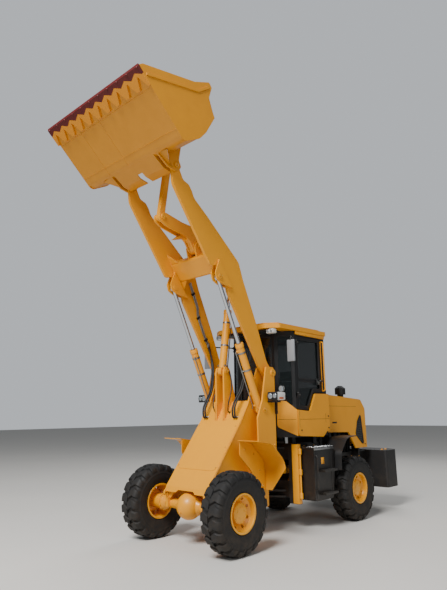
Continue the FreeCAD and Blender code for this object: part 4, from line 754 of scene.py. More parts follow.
@dataclass(frozen=True)
class Axles:
    """Bolted joints of the two drive axles."""

    brake_bolts: int = 12
    dome_bolts: int = 10

    def build(self) -> None:
        """Bolt the brake flanges and domes of both axles."""
        for end, x, way, body in (("front", FRONT_AXLE_X, 1, FRONT), ("rear", REAR_AXLE_X, -1, REAR)):
            shape = Shape()
            for _ in sides(shape):
                for c, s in circle(self.brake_bolts, 101, 0.5):
                    shape.bolt((x + c, 527, AXLE_Z + s), (0, -1, 0), 15)
                shape.weld((x + 62, 458, AXLE_Z), (x + 62, 462, AXLE_Z), 5)
                shape.lathe([(-3, 76), (3, 76), (6, 70), (6, 60)], (x, 205, AXLE_Z), ACROSS, 28)
            for c, s in circle(self.dome_bolts, 150):
                shape.bolt((x + way * 40, c, AXLE_Z + s), (way, 0, 0), 15)
            shape.lathe([(-6, 164), (6, 164), (9, 160), (9, 150)], (x + way * 28, 0, AXLE_Z), (way, 0, 0), 48)
            shape.bolt((x + way * 205, 0, AXLE_Z - 58), (way, 0, -0.35), 22)
            shape.publish(f"axle_fittings_{end}", YELLOW_ENAMEL, body)


@dataclass(frozen=True)
class Ram:
    """Dress of one hydraulic cylinder: gland, wiper seal, end weld, clamp bands, ports and pipe."""

    name: str
    body: str
    base: Vector
    eye: Vector
    radius: float
    rod: float
    length: float
    pipe_side: Vector
    bands: tuple[float, ...]
    side: Side = Side.LEFT
    port_inset: float = 86.0
    gland_reach: float = 20.0
    pipe_stand_off: float = 26.0

    def build(self) -> None:
        """Build the yellow fittings, the steel pipe and the seal."""
        axis = (self.eye - self.base).normalized()
        out = (self.pipe_side - axis * self.pipe_side.dot(axis)).normalized()
        gland, steel, seal = Shape(self.side), Shape(self.side), Shape(self.side)
        r, end = self.radius, self.length + self.gland_reach
        lift = r + self.pipe_stand_off
        gland.lathe([(end - 61, r + 3), (end - 59, r + 5.4), (end - 6, r + 5.4), (end, r + 2),
                     (end, self.rod + 6)], self.base, axis, 36)
        for c, s in circle(6, r - 6):
            gland.bolt(self.base + axis * (end - 2) + out * c + axis.cross(out) * s, axis, max(9.0, r * 0.2))
        gland.lathe([(-6, r + 0.5), (0, r + 3.5), (6, r + 0.5)], self.base + axis * 46, axis, 36, ring=True)
        near, far = (self.base + axis * along for along in (self.port_inset, self.length - self.port_inset))
        for port in (near, far):
            gland.lathe([(r - 4, 17), (r + 13, 17), (r + 15, 15), (r + 15, 5)], port, out, 18)
        seal.lathe([(end - 2, self.rod + 9), (end + 5, self.rod + 7), (end + 7, self.rod + 1.5),
                    (end - 2, self.rod + 1)], self.base, axis, 32, ring=True)
        steel.tube([far + out * (r + 12), far + out * lift, far + out * (lift + 3) - axis * 26,
                    far + out * lift - axis * 70, near + out * lift + axis * 90, near + out * lift + axis * 24,
                    near + out * (lift + 8) - axis * 10, near + out * (lift + 18) - axis * 30], 8, 10, bend=5)
        for share in self.bands:
            centre = self.base + axis * self.length * share
            steel.band(centre, axis, r + 0.4)
            steel.band(centre + out * lift, axis, 8.2, 22, 2.5)
            steel.bolt(centre + out * (r + 4), out, 12)
        gland.publish(f"{self.name}_gland", YELLOW_ENAMEL, self.body)
        steel.publish(f"{self.name}_pipe", ZINC_STEEL, self.body)
        seal.publish(f"{self.name}_wiper_seal", HOSE_RUBBER, self.body)


@dataclass(frozen=True)
class Rams:
    """The tilt, lift and steering cylinders, each by its barrel's radius, its rod's and the barrel's length."""

    tilt: tuple[float, float, float] = (56.0, 26.0, 920.0)
    lift: tuple[float, float, float] = (55.0, 28.0, 990.0)
    steer: tuple[float, float, float] = (40.0, 18.0, 415.0)

    def build(self) -> None:
        """Dress all five cylinders."""
        Ram("tilt_ram", "tilt_barrel_body", Vector((730, 0, 2260)), BOOM.at(1386, 0, 664), *self.tilt,
            Vector((-1, 0.3, 0)), (0.42, 0.8)).build()
        for side in Side:
            Ram("lift_ram_{side}", "lift_barrel_{side}_body", Vector((446, 460, 1700)),
                BOOM.at(1650, 460, -120), *self.lift, Vector((1, -0.6, 0)), (0.62, 0.88), side).build()
            Ram("steer_ram_{side}", "steer_barrel_{side}_body", Vector((-530, 300, 800)),
                Vector((125, 290, 800)), *self.steer, Vector(UP), (0.5,), side).build()


@dataclass(frozen=True)
class BoomDress:
    """Welds, pin ends, steel pipes with clamps, and hoses of the lifting arms and bell crank."""

    arm_inner: float = 440.0
    pipe: float = 10.0
    hose: float = 13.0
    lane: float = 30.0

    def build(self) -> None:
        """Build every fitting of the boom group."""
        self._welds()
        self._pins()
        for side in Side:
            self._pipes(side)

    def _welds(self) -> None:
        """Run fillets where the cross tube and crank brackets meet their plates."""
        welds = Shape()
        corners = ((1670, 30), (1976, 30), (1976, 215), (1670, 215))
        for _ in sides(welds):
            for (a0, b0), (a1, b1) in zip(corners, corners[1:] + corners[:1]):
                welds.weld(BOOM.at(a0, self.arm_inner - 1, b0), BOOM.at(a1, self.arm_inner - 1, b1), 6)
            for y in (72, 98):
                welds.weld(BOOM.at(1978, y, 60), BOOM.at(1978, y, 196), 5)
        welds.publish("boom_welds", YELLOW_ENAMEL, BOOM_BODY, sharp=80)

    def _pins(self) -> None:
        """Close the ends of the pivot pins."""
        for name, body, pins in (
                ("boom_pin_ends", BOOM_BODY, ((BOOM.at(2080, 107, 200), 34), (BOOM.at(1650, 517, -120), 30))),
                ("crank_pin_ends", "bell_crank_body",
                 ((BOOM.at(2700, 77, -185), 28), (BOOM.at(1386, 77, 664), 28))),
                ("bucket_pin_ends", BUCKET_BODY, ((BUCKET.at(0, 522, 0), 28), (BUCKET.at(30, 75, 470), 24))),
                ("frame_pin_ends", FRONT,
                 (((240, 568, 2230), 40), ((446, 562, 1700), 30), ((730, 99, 2260), 28)))):
            shape = Shape()
            for _ in sides(shape):
                for at, radius in pins:
                    shape.pin_end(at, radius)
            shape.publish(name, PIN_STEEL, body)

    def _pipes(self, side: Side) -> None:
        """Two steel lines on the arm's inner face, their clamps, and the hoses down to the nose."""
        pipes, clamps, hoses, ferrules = (Shape(side) for _ in range(4))
        y, clamp_y = self.arm_inner - 14, self.arm_inner - 27
        for k in (0, 1):
            lane = self.lane * k
            line = [BOOM.at(along, y, rise + lane) for along, rise in (
                (600, -20), (700, -20), (1040, 40), (1180, 110), (1360, 150), (1560, 190))]
            pipes.tube(line, self.pipe, 12, bend=8)
            pipes.lathe([(-4, 16), (24, 16), (26, 13)], BOOM.at(1550, y, 187 + lane), BOOM.way(1, 0.2), 6)
            mouth, lead = NOSE.at(-24, 268 + 42 * k, 14), NOSE.way(26, 52)
            route = [mouth, mouth + lead, (812, 270 + 40 * k, 1735), (745, 272 + 40 * k, 1860),
                     (660, 285 + 36 * k, 1990), (590, 318 + 30 * k, 2240), (545, 385 + 16 * k, 2470), line[0]]
            hoses.tube(route, self.hose, 12, bend=7)
            for point, way, back in ((mouth, lead, 0), (line[0], line[0] - Vector(route[-2]), 30)):
                centre = point - way.normalized() * back
                ferrules.lathe([(-4, 17), (10, 17), (11, 15.5), (34, 15.5), (36, 13)], centre, way, 14)
                ferrules.lathe([(-14, 19), (-2, 19)], centre, way, 6)
        for along, rise in ((680, -20), (1040, 40), (1400, 158)):
            low = BOOM.at(along - 18, clamp_y, rise - 18)
            clamps.slab([low, low + BOOM.way(36, 0), low + BOOM.way(36, 66), low + BOOM.way(0, 66)], (0, 27, 0), 4)
            clamps.bolt(BOOM.at(along, clamp_y, rise + 15), (0, -1, 0), 15)
        bend = (BOOM_BODY, (0.70, 0.3, 1.90), (0.545, 0.40, 2.62))
        pipes.publish("arm_pipes_{side}", ZINC_STEEL, BOOM_BODY)
        clamps.publish("pipe_clamps_{side}", BLACK_PLASTIC, BOOM_BODY)
        hoses.publish("arm_hoses_{side}", HOSE_RUBBER, FRONT, bend=bend)
        ferrules.publish("hose_ferrules_{side}", ZINC_STEEL, FRONT, bend=bend)


@dataclass(frozen=True)
class NoseDress:
    """Bolts, tilt hoses and lamps of the front frame."""

    lamp_z: float = 1888.0
    round_lamp: tuple[float, float, float] = (246.0, 706.0, 1995.0)

    def build(self) -> None:
        """Build the front frame's fittings."""
        self._bolts()
        self._tilt_hoses()
        for side in Side:
            self._lamp(side)

    def _bolts(self) -> None:
        """Cover screws, nose rings, fender bolts and foot welds."""
        shape, welds = Shape(), Shape()
        edge = ((-735, 1812), (-585, 1572), (92, 702))
        for _ in sides(shape, welds):
            for along in (130, 470, 780):
                shape.bolt(NOSE.at(along, 352, 20), NOSE.way(0, 1), 15)
            for x, z in ((-420, 1190), (-610, 1120), (-730, 900), (-775, 700)):
                shape.bolt((FRONT_AXLE_X + x, 565, z), ACROSS, 20)
            for x in (-1100, -800):
                shape.bolt((FRONT_AXLE_X + x, 553, 1210))
            shape.lathe([(-1, 30), (9, 30), (11, 28), (11, 17), (9, 15), (-1, 15)], (FRONT_AXLE_X + 124, 390, 622),
                        ACROSS, 28, ring=True)
            for (x0, z0), (x1, z1) in zip(edge, edge[1:]):
                welds.weld((FRONT_AXLE_X + x0, 391, z0), (FRONT_AXLE_X + x1, 391, z1), 5)
            for y in (61, 91):
                welds.weld((790, y, 1560), (792, y, 1800), 5)
        shape.publish("front_frame_bolts", PIN_STEEL, FRONT)
        welds.publish("nose_welds", YELLOW_ENAMEL, FRONT, sharp=80)

    def _tilt_hoses(self) -> None:
        """Two thin hoses from the nose up to the tilt cylinder's ports."""
        hoses, ends = Shape(), Shape()
        route = [NOSE.at(-108, 128, 10), NOSE.at(-90, 132, 70), (770, 150, 1790), (735, 156, 1900),
                 (690, 140, 2010), (672, 118, 2150), (700, 92, 2290), (742, 64, 2345)]
        for _ in sides(hoses, ends):
            hoses.tube(route, 9, 10, bend=7)
            ends.lathe([(-6, 15), (12, 15), (13, 12), (30, 12)], route[0], NOSE.way(18, 60), 12)
            ends.lathe([(-30, 11), (-8, 11), (-6, 14), (10, 14)], route[-1],
                       Vector(route[-1]) - Vector(route[-2]), 12)
        for name, shape, finish in (("tilt_hoses", hoses, HOSE_RUBBER), ("tilt_hose_ends", ends, ZINC_STEEL)):
            shape.publish(name, finish, FRONT, bend=("tilt_barrel_body", (0.72, 0.0, 2.10), (0.72, 0.0, 2.30)))

    def _lamp(self, side: Side) -> None:
        """Lamp pod with lens, bezel, amber side lens, bracket and round work lamp."""
        shell, lens, amber, black = (Shape(side) for _ in range(4))
        shell.box((240, 612, 1831), (440, 778, 1944), 22)
        black.box((432, 610, 1829), (452, 780, 1945), 9)
        for y, r in ((660, 42), (738, 34)):
            lens.lathe([(0, r), (5, r), (9, r * 0.9), (12, r * 0.6), (13, r * 0.2)], (448, y, self.lamp_z),
                       ALONG, 28)
            black.lathe([(0, r + 7), (9, r + 6), (9, r), (0, r)], (449, y, self.lamp_z), ALONG, 28, ring=True)
        amber.box((300, 777, 1846), (400, 783, 1872), 3)
        black.box((260, 553.4, 1801), (380, 700, 1830), 4)
        black.box((228, 575, 1640), (244, 620, 1905), 4)
        black.tube([(236, 600, 1900), (236, 668, 1940), (236, 700, 1958)], 8, 10, bend=5)
        shell.lathe([(-34, 20), (-31, 30), (-14, 46), (-2, 50), (4, 50)], self.round_lamp, ALONG, 30)
        black.lathe([(2, 51), (12, 51), (13, 47), (6, 43), (2, 43)], self.round_lamp, ALONG, 30, ring=True)
        lens.lathe([(4, 44), (8, 34), (10, 18), (10.5, 4)], self.round_lamp, ALONG, 28)
        shell.publish("lamp_shells_{side}", LAMP_WHITE, FRONT,
                      stands_for=("head_lamps",) if side is Side.LEFT else ())
        lens.publish("lamp_lenses_{side}", LAMP_LENS, FRONT)
        amber.publish("side_lenses_{side}", AMBER_LENS, FRONT)
        black.publish("lamp_brackets_{side}", BLACK_PLASTIC, FRONT)


@dataclass(frozen=True)
class BucketDress:
    """Edge bolts, floor seams and ear gussets of the bucket."""

    half: float = 1005.0
    edge_bolts: int = 11
    floor: float = -200.5

    def build(self) -> None:
        """Build the bucket's fittings."""
        bolts, welds, gussets = Shape(), Shape(), Shape()
        for i in range(self.edge_bolts):
            y = -self.half + 25 + i * (2 * self.half - 50) / (self.edge_bolts - 1)
            bolts.lathe([(-1, 15), (3, 14), (7, 11), (9, 6), (9.5, 2)], BUCKET.at(1214, y, -226),
                        -BUCKET.way(0, 1), 16)
        for y in (-480, -60):
            welds.weld(BUCKET.at(300, y, self.floor), BUCKET.at(984, y, self.floor), 3)
        for along in (420, 960):
            welds.weld(BUCKET.at(along, 10 - self.half, self.floor),
                       BUCKET.at(along, self.half - 10, self.floor), 4)
        for _ in sides(welds, gussets):
            for y in (407, 433, 487, 513):
                welds.weld(BUCKET.at(232, y, -118), BUCKET.at(345, y, -196), 5)
            gussets.slab([BUCKET.at(268, 512.5, -172), BUCKET.at(258, 690, -188), BUCKET.at(60, 520, -118),
                          BUCKET.at(-10, 512.5, -70)], BUCKET.way(3, 12), 2)
            welds.weld(BUCKET.at(262, 989, -197), BUCKET.at(1190, 989, -199), 4)
        bolts.publish("edge_bolts", RED_ENAMEL, BUCKET_BODY)
        gussets.publish("ear_gussets", BUCKET_ENAMEL, BUCKET_BODY)
        welds.publish("bucket_welds", BUCKET_ENAMEL, BUCKET_BODY, sharp=80)


@dataclass(frozen=True)
class Cab:
    """Cab trim: window gaskets, fascia, work lamps, wiper, locks, rails, mirrors and the driver's place."""

    front: float = -60.0
    corner: float = -230.0
    rear: float = -1090.0
    half: float = 620.0
    nose_half: float = 370.0
    pane_top: float = 2820.0
    floor: float = 1340.0
    hinge_x: float = -265.0
    rail_x: float = -1002.0

    def build(self) -> None:
        """Build all of the cab's trim."""
        self._gaskets()
        self._roof()
        self._wiper()
        for side in Side:
            self._door(side)
            self._mirror(side)
        self._seat()
        self._desk()

    def _gaskets(self) -> None:
        """Rubber seals round the fixed panes."""
        shape = Shape()

        def seal(a: tuple[float, float], b: tuple[float, float], sill: float, margin: float) -> None:
            """Frame the pane that stands on a floor line from a to b."""
            start, end = Vector((*a, 0)), Vector((*b, 0))
            inset = (end - start).normalized() * margin
            corners = ((start + inset, sill), (end - inset, sill), (end - inset, self.pane_top),
                       (start + inset, self.pane_top))
            shape.tube(softened([p + Vector((0, 0, z)) for p, z in corners], 16), 7, 8, ring=True)

        seal((self.front, -self.nose_half), (self.front, self.nose_half), 1860, 55)
        seal((self.rear, self.half), (self.rear, -self.half), 2060, 90)
        for _ in sides(shape):
            seal((self.front, self.nose_half), (self.corner, self.half), 1760, 45)
        shape.publish("window_gaskets", HOSE_RUBBER, REAR)

    def _roof(self) -> None:
        """Yellow side fascias, a black liner below the roof, gutters and four work lamps."""
        yellow, black, lens, shell = (Shape() for _ in range(4))
        for _ in sides(yellow, black, lens, shell):
            yellow.slab([(-1070, 621, 2838), (-262, 621, 2846), (-250, 621, 2899), (-1082, 621, 2899)],
                        (0, 24, 0), 5)
            black.box((-58, 120, 2870), (200, 470, 2899.5), 6)
            for x0, x1, y, way in ((150, 240, 520, 1), (-1140, -1092, 470, -1)):
                shell.box((x0, y - 68, 2822), (x1, y + 68, 2892), 12)
                black.box(((x0 + x1) / 2 - 12, y - 14, 2886), ((x0 + x1) / 2 + 12, y + 14, 2900), 3)
                for shift in (-32, 32):
                    lens.lathe([(-3, 27), (2, 27), (5, 22), (7, 10), (7.5, 3)],
                               (x1 if way > 0 else x0, y + shift, 2857), (way, 0, 0), 24)
        black.tube([(212, -428, 2903), (212, 428, 2903)], 5, 8)
        yellow.publish("roof_fascias", YELLOW_ENAMEL, REAR)
        black.publish("roof_liner", BLACK_PLASTIC, REAR)
        shell.publish("work_lamp_shells", LAMP_WHITE, REAR)
        lens.publish("work_lamp_lenses", LAMP_LENS, REAR)

    def _wiper(self) -> None:
        """Wiper motor cover, arm and blade on the windscreen."""
        shape = Shape()
        x = self.front + 12
        shape.lathe([(0, 26), (14, 24), (20, 16), (22, 6)], (self.front + 1, 60, 1838), ALONG, 20)
        shape.slab([(x, 52, 1840), (x, 68, 1840), (x, 205, 2320), (x, 195, 2323)], (8, 0, 0), 2)
        shape.slab([(x - 8, 188, 2030), (x - 8, 200, 2030), (x - 8, 212, 2600), (x - 8, 200, 2600)], (12, 0, 0), 2)
        shape.publish("wiper", BLACK_PLASTIC, REAR)

    def _door(self, side: Side) -> None:
        """Door gaskets, lock box, lever, grab rail and hinge caps."""
        rubber, metal, rail, box = (Shape(side) for _ in range(4))
        x0, x1, z1 = -904.0, -321.0, 2774.0
        for rows in ([(x0, 2170), (x1, 2170), (x1, z1), (x0, z1)],
                     [(x0, 2021), (-708, 2021), (-546, 1750), (x1, 1757), (x1, 2130), (x0, 2130)]):
            rubber.tube(softened([Vector((x, 617.5, z)) for x, z in rows], 22), 6, 8, ring=True)
        box.box((-895, 618, 2085), (-800, 640, 2185), 7)
        metal.box((-880, 640, 2118), (-820, 645, 2150), 2)
        metal.lathe([(0, 11), (6, 10), (8, 7)], (-850, 640, 2105), ACROSS, 18)
        metal.tube([(-872, 640, 2160), (-872, 662, 2160), (-866, 668, 2150), (-836, 668, 2148)], 5, 8, bend=3)
        for z in (1900, 2700):
            metal.lathe([(0, 15), (5, 15), (8, 10)], (self.hinge_x, 638, z + 50), UP, 18)
            for shift in (-44, -22):
                metal.bolt((self.hinge_x + shift, 642, z + 25), ACROSS, 11)
        rail.tube([(self.rail_x, y, z) for y, z in (
            (620, 1995), (655, 2010), (660, 2050), (660, 2400), (660, 2740), (655, 2780), (620, 2795))],
                  11, 12, bend=6)
        x0, x1 = self.rail_x + 10, self.rail_x + 32
        rail.slab([(x0, 620.2, 1990), (x1, 620.2, 1990), (x1, 620.2, 2800), (x0, 620.2, 2800)], (0, 4, 0), 1.5)
        rubber.publish("door_gaskets_{side}", HOSE_RUBBER, "door_{side}_body")
        box.publish("door_lock_box_{side}", BLACK_PLASTIC, "door_{side}_body")
        metal.publish("door_fittings_{side}", ZINC_STEEL, "door_{side}_body")
        rail.publish("pillar_rail_{side}", YELLOW_ENAMEL, REAR)

    def _mirror(self, side: Side) -> None:
        """Rounded mirror housing on its bent arm, with silvered glass to the rear."""
        shell, glass, arm = (Shape(side) for _ in range(3))
        shell.box((153, 786, 2381), (187, 914, 2699), 13)
        glass.box((151.5, 796, 2395), (155, 904, 2685), 1.2)
        arm.tube([(-236, 632.5, 2740), (-120, 690, 2742), (100, 812, 2744), (150, 840, 2742), (170, 850, 2722),
                  (170, 850, 2690)], 11, 12, bend=6)
        arm.lathe([(-4, 22), (10, 22), (13, 18), (20, 14)], (-238, 630, 2740), (0.4, 0.9, 0), 20)
        arm.lathe([(-14, 17), (14, 17), (16, 15)], (170, 850, 2700), UP, 20)
        shell.publish("mirror_shell_{side}", MIRROR_SHELL, REAR,
                      stands_for=("mirrors",) if side is Side.LEFT else ())
        glass.publish("mirror_glass_{side}", MIRROR_GLASS, REAR)
        arm.publish("mirror_arm_{side}", BLACK_ENAMEL, REAR, "plastic_black")

    def _seat(self) -> None:
        """Suspension seat: pleated bellows, pan, crowned cushion and backrest with sewn channels."""
        x, z = self.rear + 420.0, self.floor
        base, arms = Shape(), Shape()
        base.box((x - 150, -150, z + 0.3), (x + 150, 150, z + 40), 6)
        for k in range(6):
            base.lathe([(0, 150), (16, 172), (18, 172), (34, 150)], (x, 0, z + 40 + 33 * k), UP, 4,
                       phase=math.pi / 4)
        base.box((x - 215, -225, z + 238), (x + 235, 225, z + 284), 14)
        base.publish("seat_base", BLACK_PLASTIC, REAR, stands_for=("seat",))
        cushion = Cushion((x - 225, -232, z + 282), (x + 255, 232, z + 398), 2, 0, 4).build("seat_cushion")
        back = Cushion((x - 256, -224, z + 402), (x - 152, 224, z + 830), 0, 2, 5).build("seat_backrest")
        head = Cushion((x - 250, -130, z + 842), (x - 165, 130, z + 996), 0, 2, 1).build("seat_headrest")
        for _ in sides(arms):
            arms.box((x - 170, 236, z + 520), (x + 130, 288, z + 556), 14)
            arms.tube([(x - 190, 240, z + 500), (x - 190, 262, z + 520), (x - 160, 262, z + 530)], 13, 10, bend=4)
            arms.tube([(x - 205, 60, z + 820), (x - 205, 60, z + 860)], 8, 10)
        arms.publish("seat_armrests", BLACK_PLASTIC, REAR)

    def _desk(self) -> None:
        """Gauge hood, blank gauges, column levers and the right-hand control lever."""
        black, dials = Shape(), Shape()
        x, z = self.front - 200.0, 1980.0
        black.slab([(x - 88, -165, z + 1), (x - 60, -165, z + 46), (x + 30, -165, z + 66), (x + 58, -165, z + 1)],
                   (0, 330, 0), 7)
        tilt = (-0.85, 0, 0.53)
        for y, r in ((-92, 34), (0, 44), (92, 34)):
            at = (x - 78, y, z + 24)
            black.lathe([(-4, r * 0.62), (5, r * 0.62), (5, r * 0.52), (-4, r * 0.52)], at, tilt, 26, ring=True)
            dials.lathe([(-6, r * 0.52), (1, r * 0.52), (1.5, r * 0.4)], at, tilt, 26)
        for _ in sides(black):
            black.tube([(x - 60, 30, z + 120), (x - 66, 110, z + 134), (x - 70, 158, z + 140)], 6, 10, bend=4)
        black.box((x - 560, -430, self.floor + 0.5), (x - 260, -330, 1900), 10)
        black.tube([(x - 330, -380, 1895), (x - 325, -380, 1990), (x - 310, -378, 2050)], 9, 10, bend=4)
        black.lathe([(0, 10), (12, 20), (50, 24), (78, 18), (90, 7)], (x - 312, -378, 2030), (0.15, 0, 1), 20)
        black.publish("cab_controls_trim", BLACK_PLASTIC, REAR)
        dials.publish("gauge_faces", LAMP_WHITE, REAR)


@dataclass(frozen=True)
class Cushion:
    """A crowned foam pad between two corners: thin is its thin axis, length the axis its channels cross."""

    low: Triple
    high: Triple
    thin: int
    length: int
    channels: int

    def build(self, name: str) -> bpy.types.Object:
        """Shape the pad and cover it in cloth.

        Args:
            name: the piece's name.

        Returns:
            The cushion.
        """
        shape = Shape()
        bmesh.ops.create_cube(shape.mesh, size=2.0)
        bmesh.ops.subdivide_edges(shape.mesh, edges=shape.mesh.edges, cuts=23, use_grid_fill=True)
        wide = 3 - self.thin - self.length
        middle = [(a + b) / 2 for a, b in zip(self.low, self.high)]
        reach = [(b - a) / 2 for a, b in zip(self.low, self.high)]

        def placed(u: float, v: float, w: float) -> Vector:
            """Point at shares of the reach along the length, the width and the thickness."""
            point = Vector()
            for axis, share in ((self.length, u), (wide, v), (self.thin, w)):
                point[axis] = middle[axis] + reach[axis] * share
            return point

        for vert in shape.mesh.verts:
            u, v, w = vert.co[self.length], vert.co[wide], vert.co[self.thin]
            border = max(abs(u), abs(v)) ** 7
            crown = (1 - 0.1496 * (abs(u) ** 3.2 + abs(v) ** 3.2)) * (1 - 0.22 * border)
            lines = (-1 + 2 * k / self.channels for k in range(1, self.channels))
            groove = sum(math.exp(-(((u - line) * self.channels / 0.16) ** 2) / 2) for line in lines)
            if w <= 0:
                groove *= 0.15
                crown = 1 - 0.18 * border
            pull = (1 - 0.03 * (1 - w * w) * border) * (1 - 0.025 * math.exp(-((w / 0.12) ** 2)))
            vert.co = placed(u * pull * (1 - 0.02 * abs(w) ** 6), v * pull * (1 - 0.03 * abs(w) ** 6),
                             w * crown * (1 - 0.16 * min(groove, 1.0)))
        bmesh.ops.smooth_vert(shape.mesh, verts=shape.mesh.verts, factor=0.5, use_axis_x=True, use_axis_y=True,
                              use_axis_z=True)
        piping = [placed(0.955 * u, 0.955 * v, 0.42) for u, v in ((-1, -1), (1, -1), (1, 1), (-1, 1))]
        shape.tube(softened(piping, min(reach[self.length], reach[wide]) * 0.3, 6), 4, 8, ring=True)
        return shape.publish(name, Fabric(), REAR, sharp=80)


@dataclass(frozen=True)
class BodyDress:
    """Painted-shade strips in the panel seams, latches, mesh, steps, tank tread, post plates, tail lamps and tow
    pin of the rear frame.
    """

    skirt_y: float = 655.0
    seam_z: float = 1556.0
    hood_y: float = 560.0
    post_y: float = 580.0
    post_x: float = -300.0
    tow_pin_x: float = -3140.0
    mesh_wires: tuple[int, int, int] = (-2319, -2067, 21)
    tread_studs: tuple[int, int] = (18, 5)
    step_studs: tuple[int, int] = (11, 3)
    step_heights: tuple[int, int] = (510, 830)

    def build(self) -> None:
        """Build the rear frame's and the hood's fittings."""
        for side in Side:
            self._skirt(side)
            self._hood(side)
            self._tank(side)
            self._post(side)
        self._tail()
        self._hinge_pins()

    def _seam(self, shape: Shape, start: Vector, end: Vector, out: Vector, width: float, bevel: float) -> None:
        """A raised strip along a seam line, upright or level; in black it is painted shade for the shadow in the
        panel gap.
        """
        wide = Vector((width, 0, 0)) if start.x == end.x else Vector((0, 0, width))
        shape.slab([start, end, end + wide, start + wide], out, bevel, 1)

    def _skirt(self, side: Side) -> None:
        """Black strips of painted shade in the panel gaps of the cab's side cover, and its latches."""
        seams = Shape(side)
        y, z = self.skirt_y - 1, self.seam_z
        # Painted shade: black strips where the panel gaps show shadow.
        for (xa, za), (xb, zb) in (((-262, z), (-1085, z)), ((-262, 1695), (-262, 1450)),
                                   ((-985, 1640), (-985, 1500))):
            self._seam(seams, Vector((xa, y, za)), Vector((xb, y, zb)), Vector((0, 1.9, 0)), 4, 0.6)
        front, corner = Vector((-60, 370, z)), Vector((-230, 620, z))
        way = (front - corner).normalized()
        out = Vector((abs(way.y), abs(way.x), 0))
        self._seam(seams, corner + way * 6 + out * 29.8, front - way * 22 + out * 29.8, out * 1.9, 4, 0.6)
        for x, z in ((-1060, 1600), (-300, 1400), (-1060, 1420)):
            seams.box((x - 14, y, z - 9), (x + 14, y + 10, z + 9), 3)
        seams.publish("skirt_seams_{side}", BLACK_PLASTIC, REAR)

    def _hood(self, side: Side) -> None:
        """Slot handle, latch and mesh of the hood's side, and black seam strips that are painted shade in its
        panel gaps.
        """
        black, mesh = Shape(side), Shape(side)
        y = self.hood_y
        black.box((-1470, y - 2, 1478), (-1330, y + 3, 1504), 8)
        black.box((-2410, y - 2, 1100), (-2384, y + 3, 1118), 3)
        # Painted shade: black strips in the hood's panel gaps.
        for (xa, za), (xb, zb) in (((-1125, 1760), (-2150, 1752)), ((-1128, 1360), (-1128, 1930))):
            self._seam(black, Vector((xa, y - 1, za)), Vector((xb, y - 1, zb)), Vector((0, 1.7, 0)), 3.5, 0.5)
        leaf = [(-2280, 1640), (-2150, 1500), (-2070, 1280), (-2290, 1110), (-2340, 1130)]
        for x in range(*self.mesh_wires):
            cuts = crossings(leaf, x)
            if len(cuts) == 2:
                mesh.tube([(x, y + 4.5, cuts[0] + 6), (x, y + 4.5, cuts[1] - 6)], 2.0, 6)
        black.publish("hood_latches_{side}", BLACK_PLASTIC, "hood_body")
        mesh.publish("grille_mesh_{side}", ZINC_STEEL, "hood_body")

    def _tank(self, side: Side) -> None:
        """Studded aluminium tread on the tank, its cap and straps, grab rail and step studs."""
        plate, cap, studs, label = (Shape(side) for _ in range(4))
        plate.box((-918, 500, 1150.2), (-372, 806, 1154.5), 1)
        plate.box((-918, 800.4, 1112), (-372, 806, 1154), 1)
        for i in range(self.tread_studs[0]):
            for j in range(self.tread_studs[1]):
                plate.lathe([(-1, 7), (2, 5.5), (2.6, 2)],
                            (-900 + i * 30 + (j % 2) * 12, 680 + j * 28, 1154.5), UP, 8)
        for z in self.step_heights:
            for i in range(self.step_studs[0]):
                for j in range(self.step_studs[1]):
                    studs.lathe([(-1, 6), (3, 4.5), (3.6, 1.5)], (-825 + i * 29, 822 + j * 28, z), UP, 8)
        for x in (-850, -430):
            studs.box((x - 22, 798, 440), (x + 22, 804, 1110), 2)
        studs.tube([(-392, y, z) for y, z in (
            (800, 560), (838, 580), (842, 640), (842, 960), (838, 1020), (800, 1040))], 11, 10, bend=5)
        cap.lathe([(0, 46), (10, 48), (26, 48), (32, 42), (34, 20)], (-560, 590, 1150), UP, 24)
        plate.publish("tank_tread_{side}", TREAD_ALUMINIUM, REAR)
        studs.publish("tank_straps_and_studs_{side}", BLACK_ENAMEL, REAR)
        cap.publish("tank_cap_{side}", BLACK_PLASTIC, REAR)
        if side is Side.LEFT:
            label.box((-640, 799.5, 905), (-560, 801.5, 1000), 0.8)
            label.publish("blank_yellow_plate", YELLOW_ENAMEL, REAR)

    def _post(self, side: Side) -> None:
        """Yellow plates and knuckles on the chassis post behind the front wheel."""
        shape = Shape(side)
        x, y = self.post_x, self.post_y
        shape.box((x - 52, y - 9.6, 356), (x + 12, y, 1196), 3)
        shape.box((x + 15.4, y - 110, 356), (x + 23, y, 1196), 3)
        for z in (470, 800, 1090):
            shape.lathe([(-40, 24), (-36, 27), (36, 27), (40, 24)], (x, y + 22, z), UP, 22)
            shape.box((x - 16, y - 2, z - 34), (x + 16, y + 20, z + 34), 4)
        shape.tube([(x, y + 22, 420), (x, y + 22, 1140)], 14, 12)
        for z in (600, 960):
            shape.bolt((x - 18, y, z), ACROSS, 20)
        shape.publish("post_plates_{side}", YELLOW_ENAMEL, REAR)

    def _tail(self) -> None:
        """Tail lamps, counterweight bolts and the tow pin with its ring."""
        red, black, steel = Shape(), Shape(), Shape()
        for _ in sides(red, black, steel):
            black.box((-3206, 440, 836), (-3198, 590, 924), 4)
            red.box((-3209, 448, 846), (-3203, 582, 914), 3)
            for x in (-2740, -2880):
                steel.bolt((x, 700, 990), UP, 34)
        x = self.tow_pin_x
        steel.lathe([(0, 21.5), (30, 21.5), (32, 18)], (x, 0, 985), UP, 24)
        steel.tube([(x + c, 0, 1046 + s) for c, s in circle(24, 34)], 6, 8, ring=True)
        red.publish("tail_lenses", RED_LENS, REAR)
        black.publish("tail_lamp_bases", BLACK_PLASTIC, REAR)
        steel.publish("tail_bolts_and_tow_pin", PIN_STEEL, REAR, "frame_black")

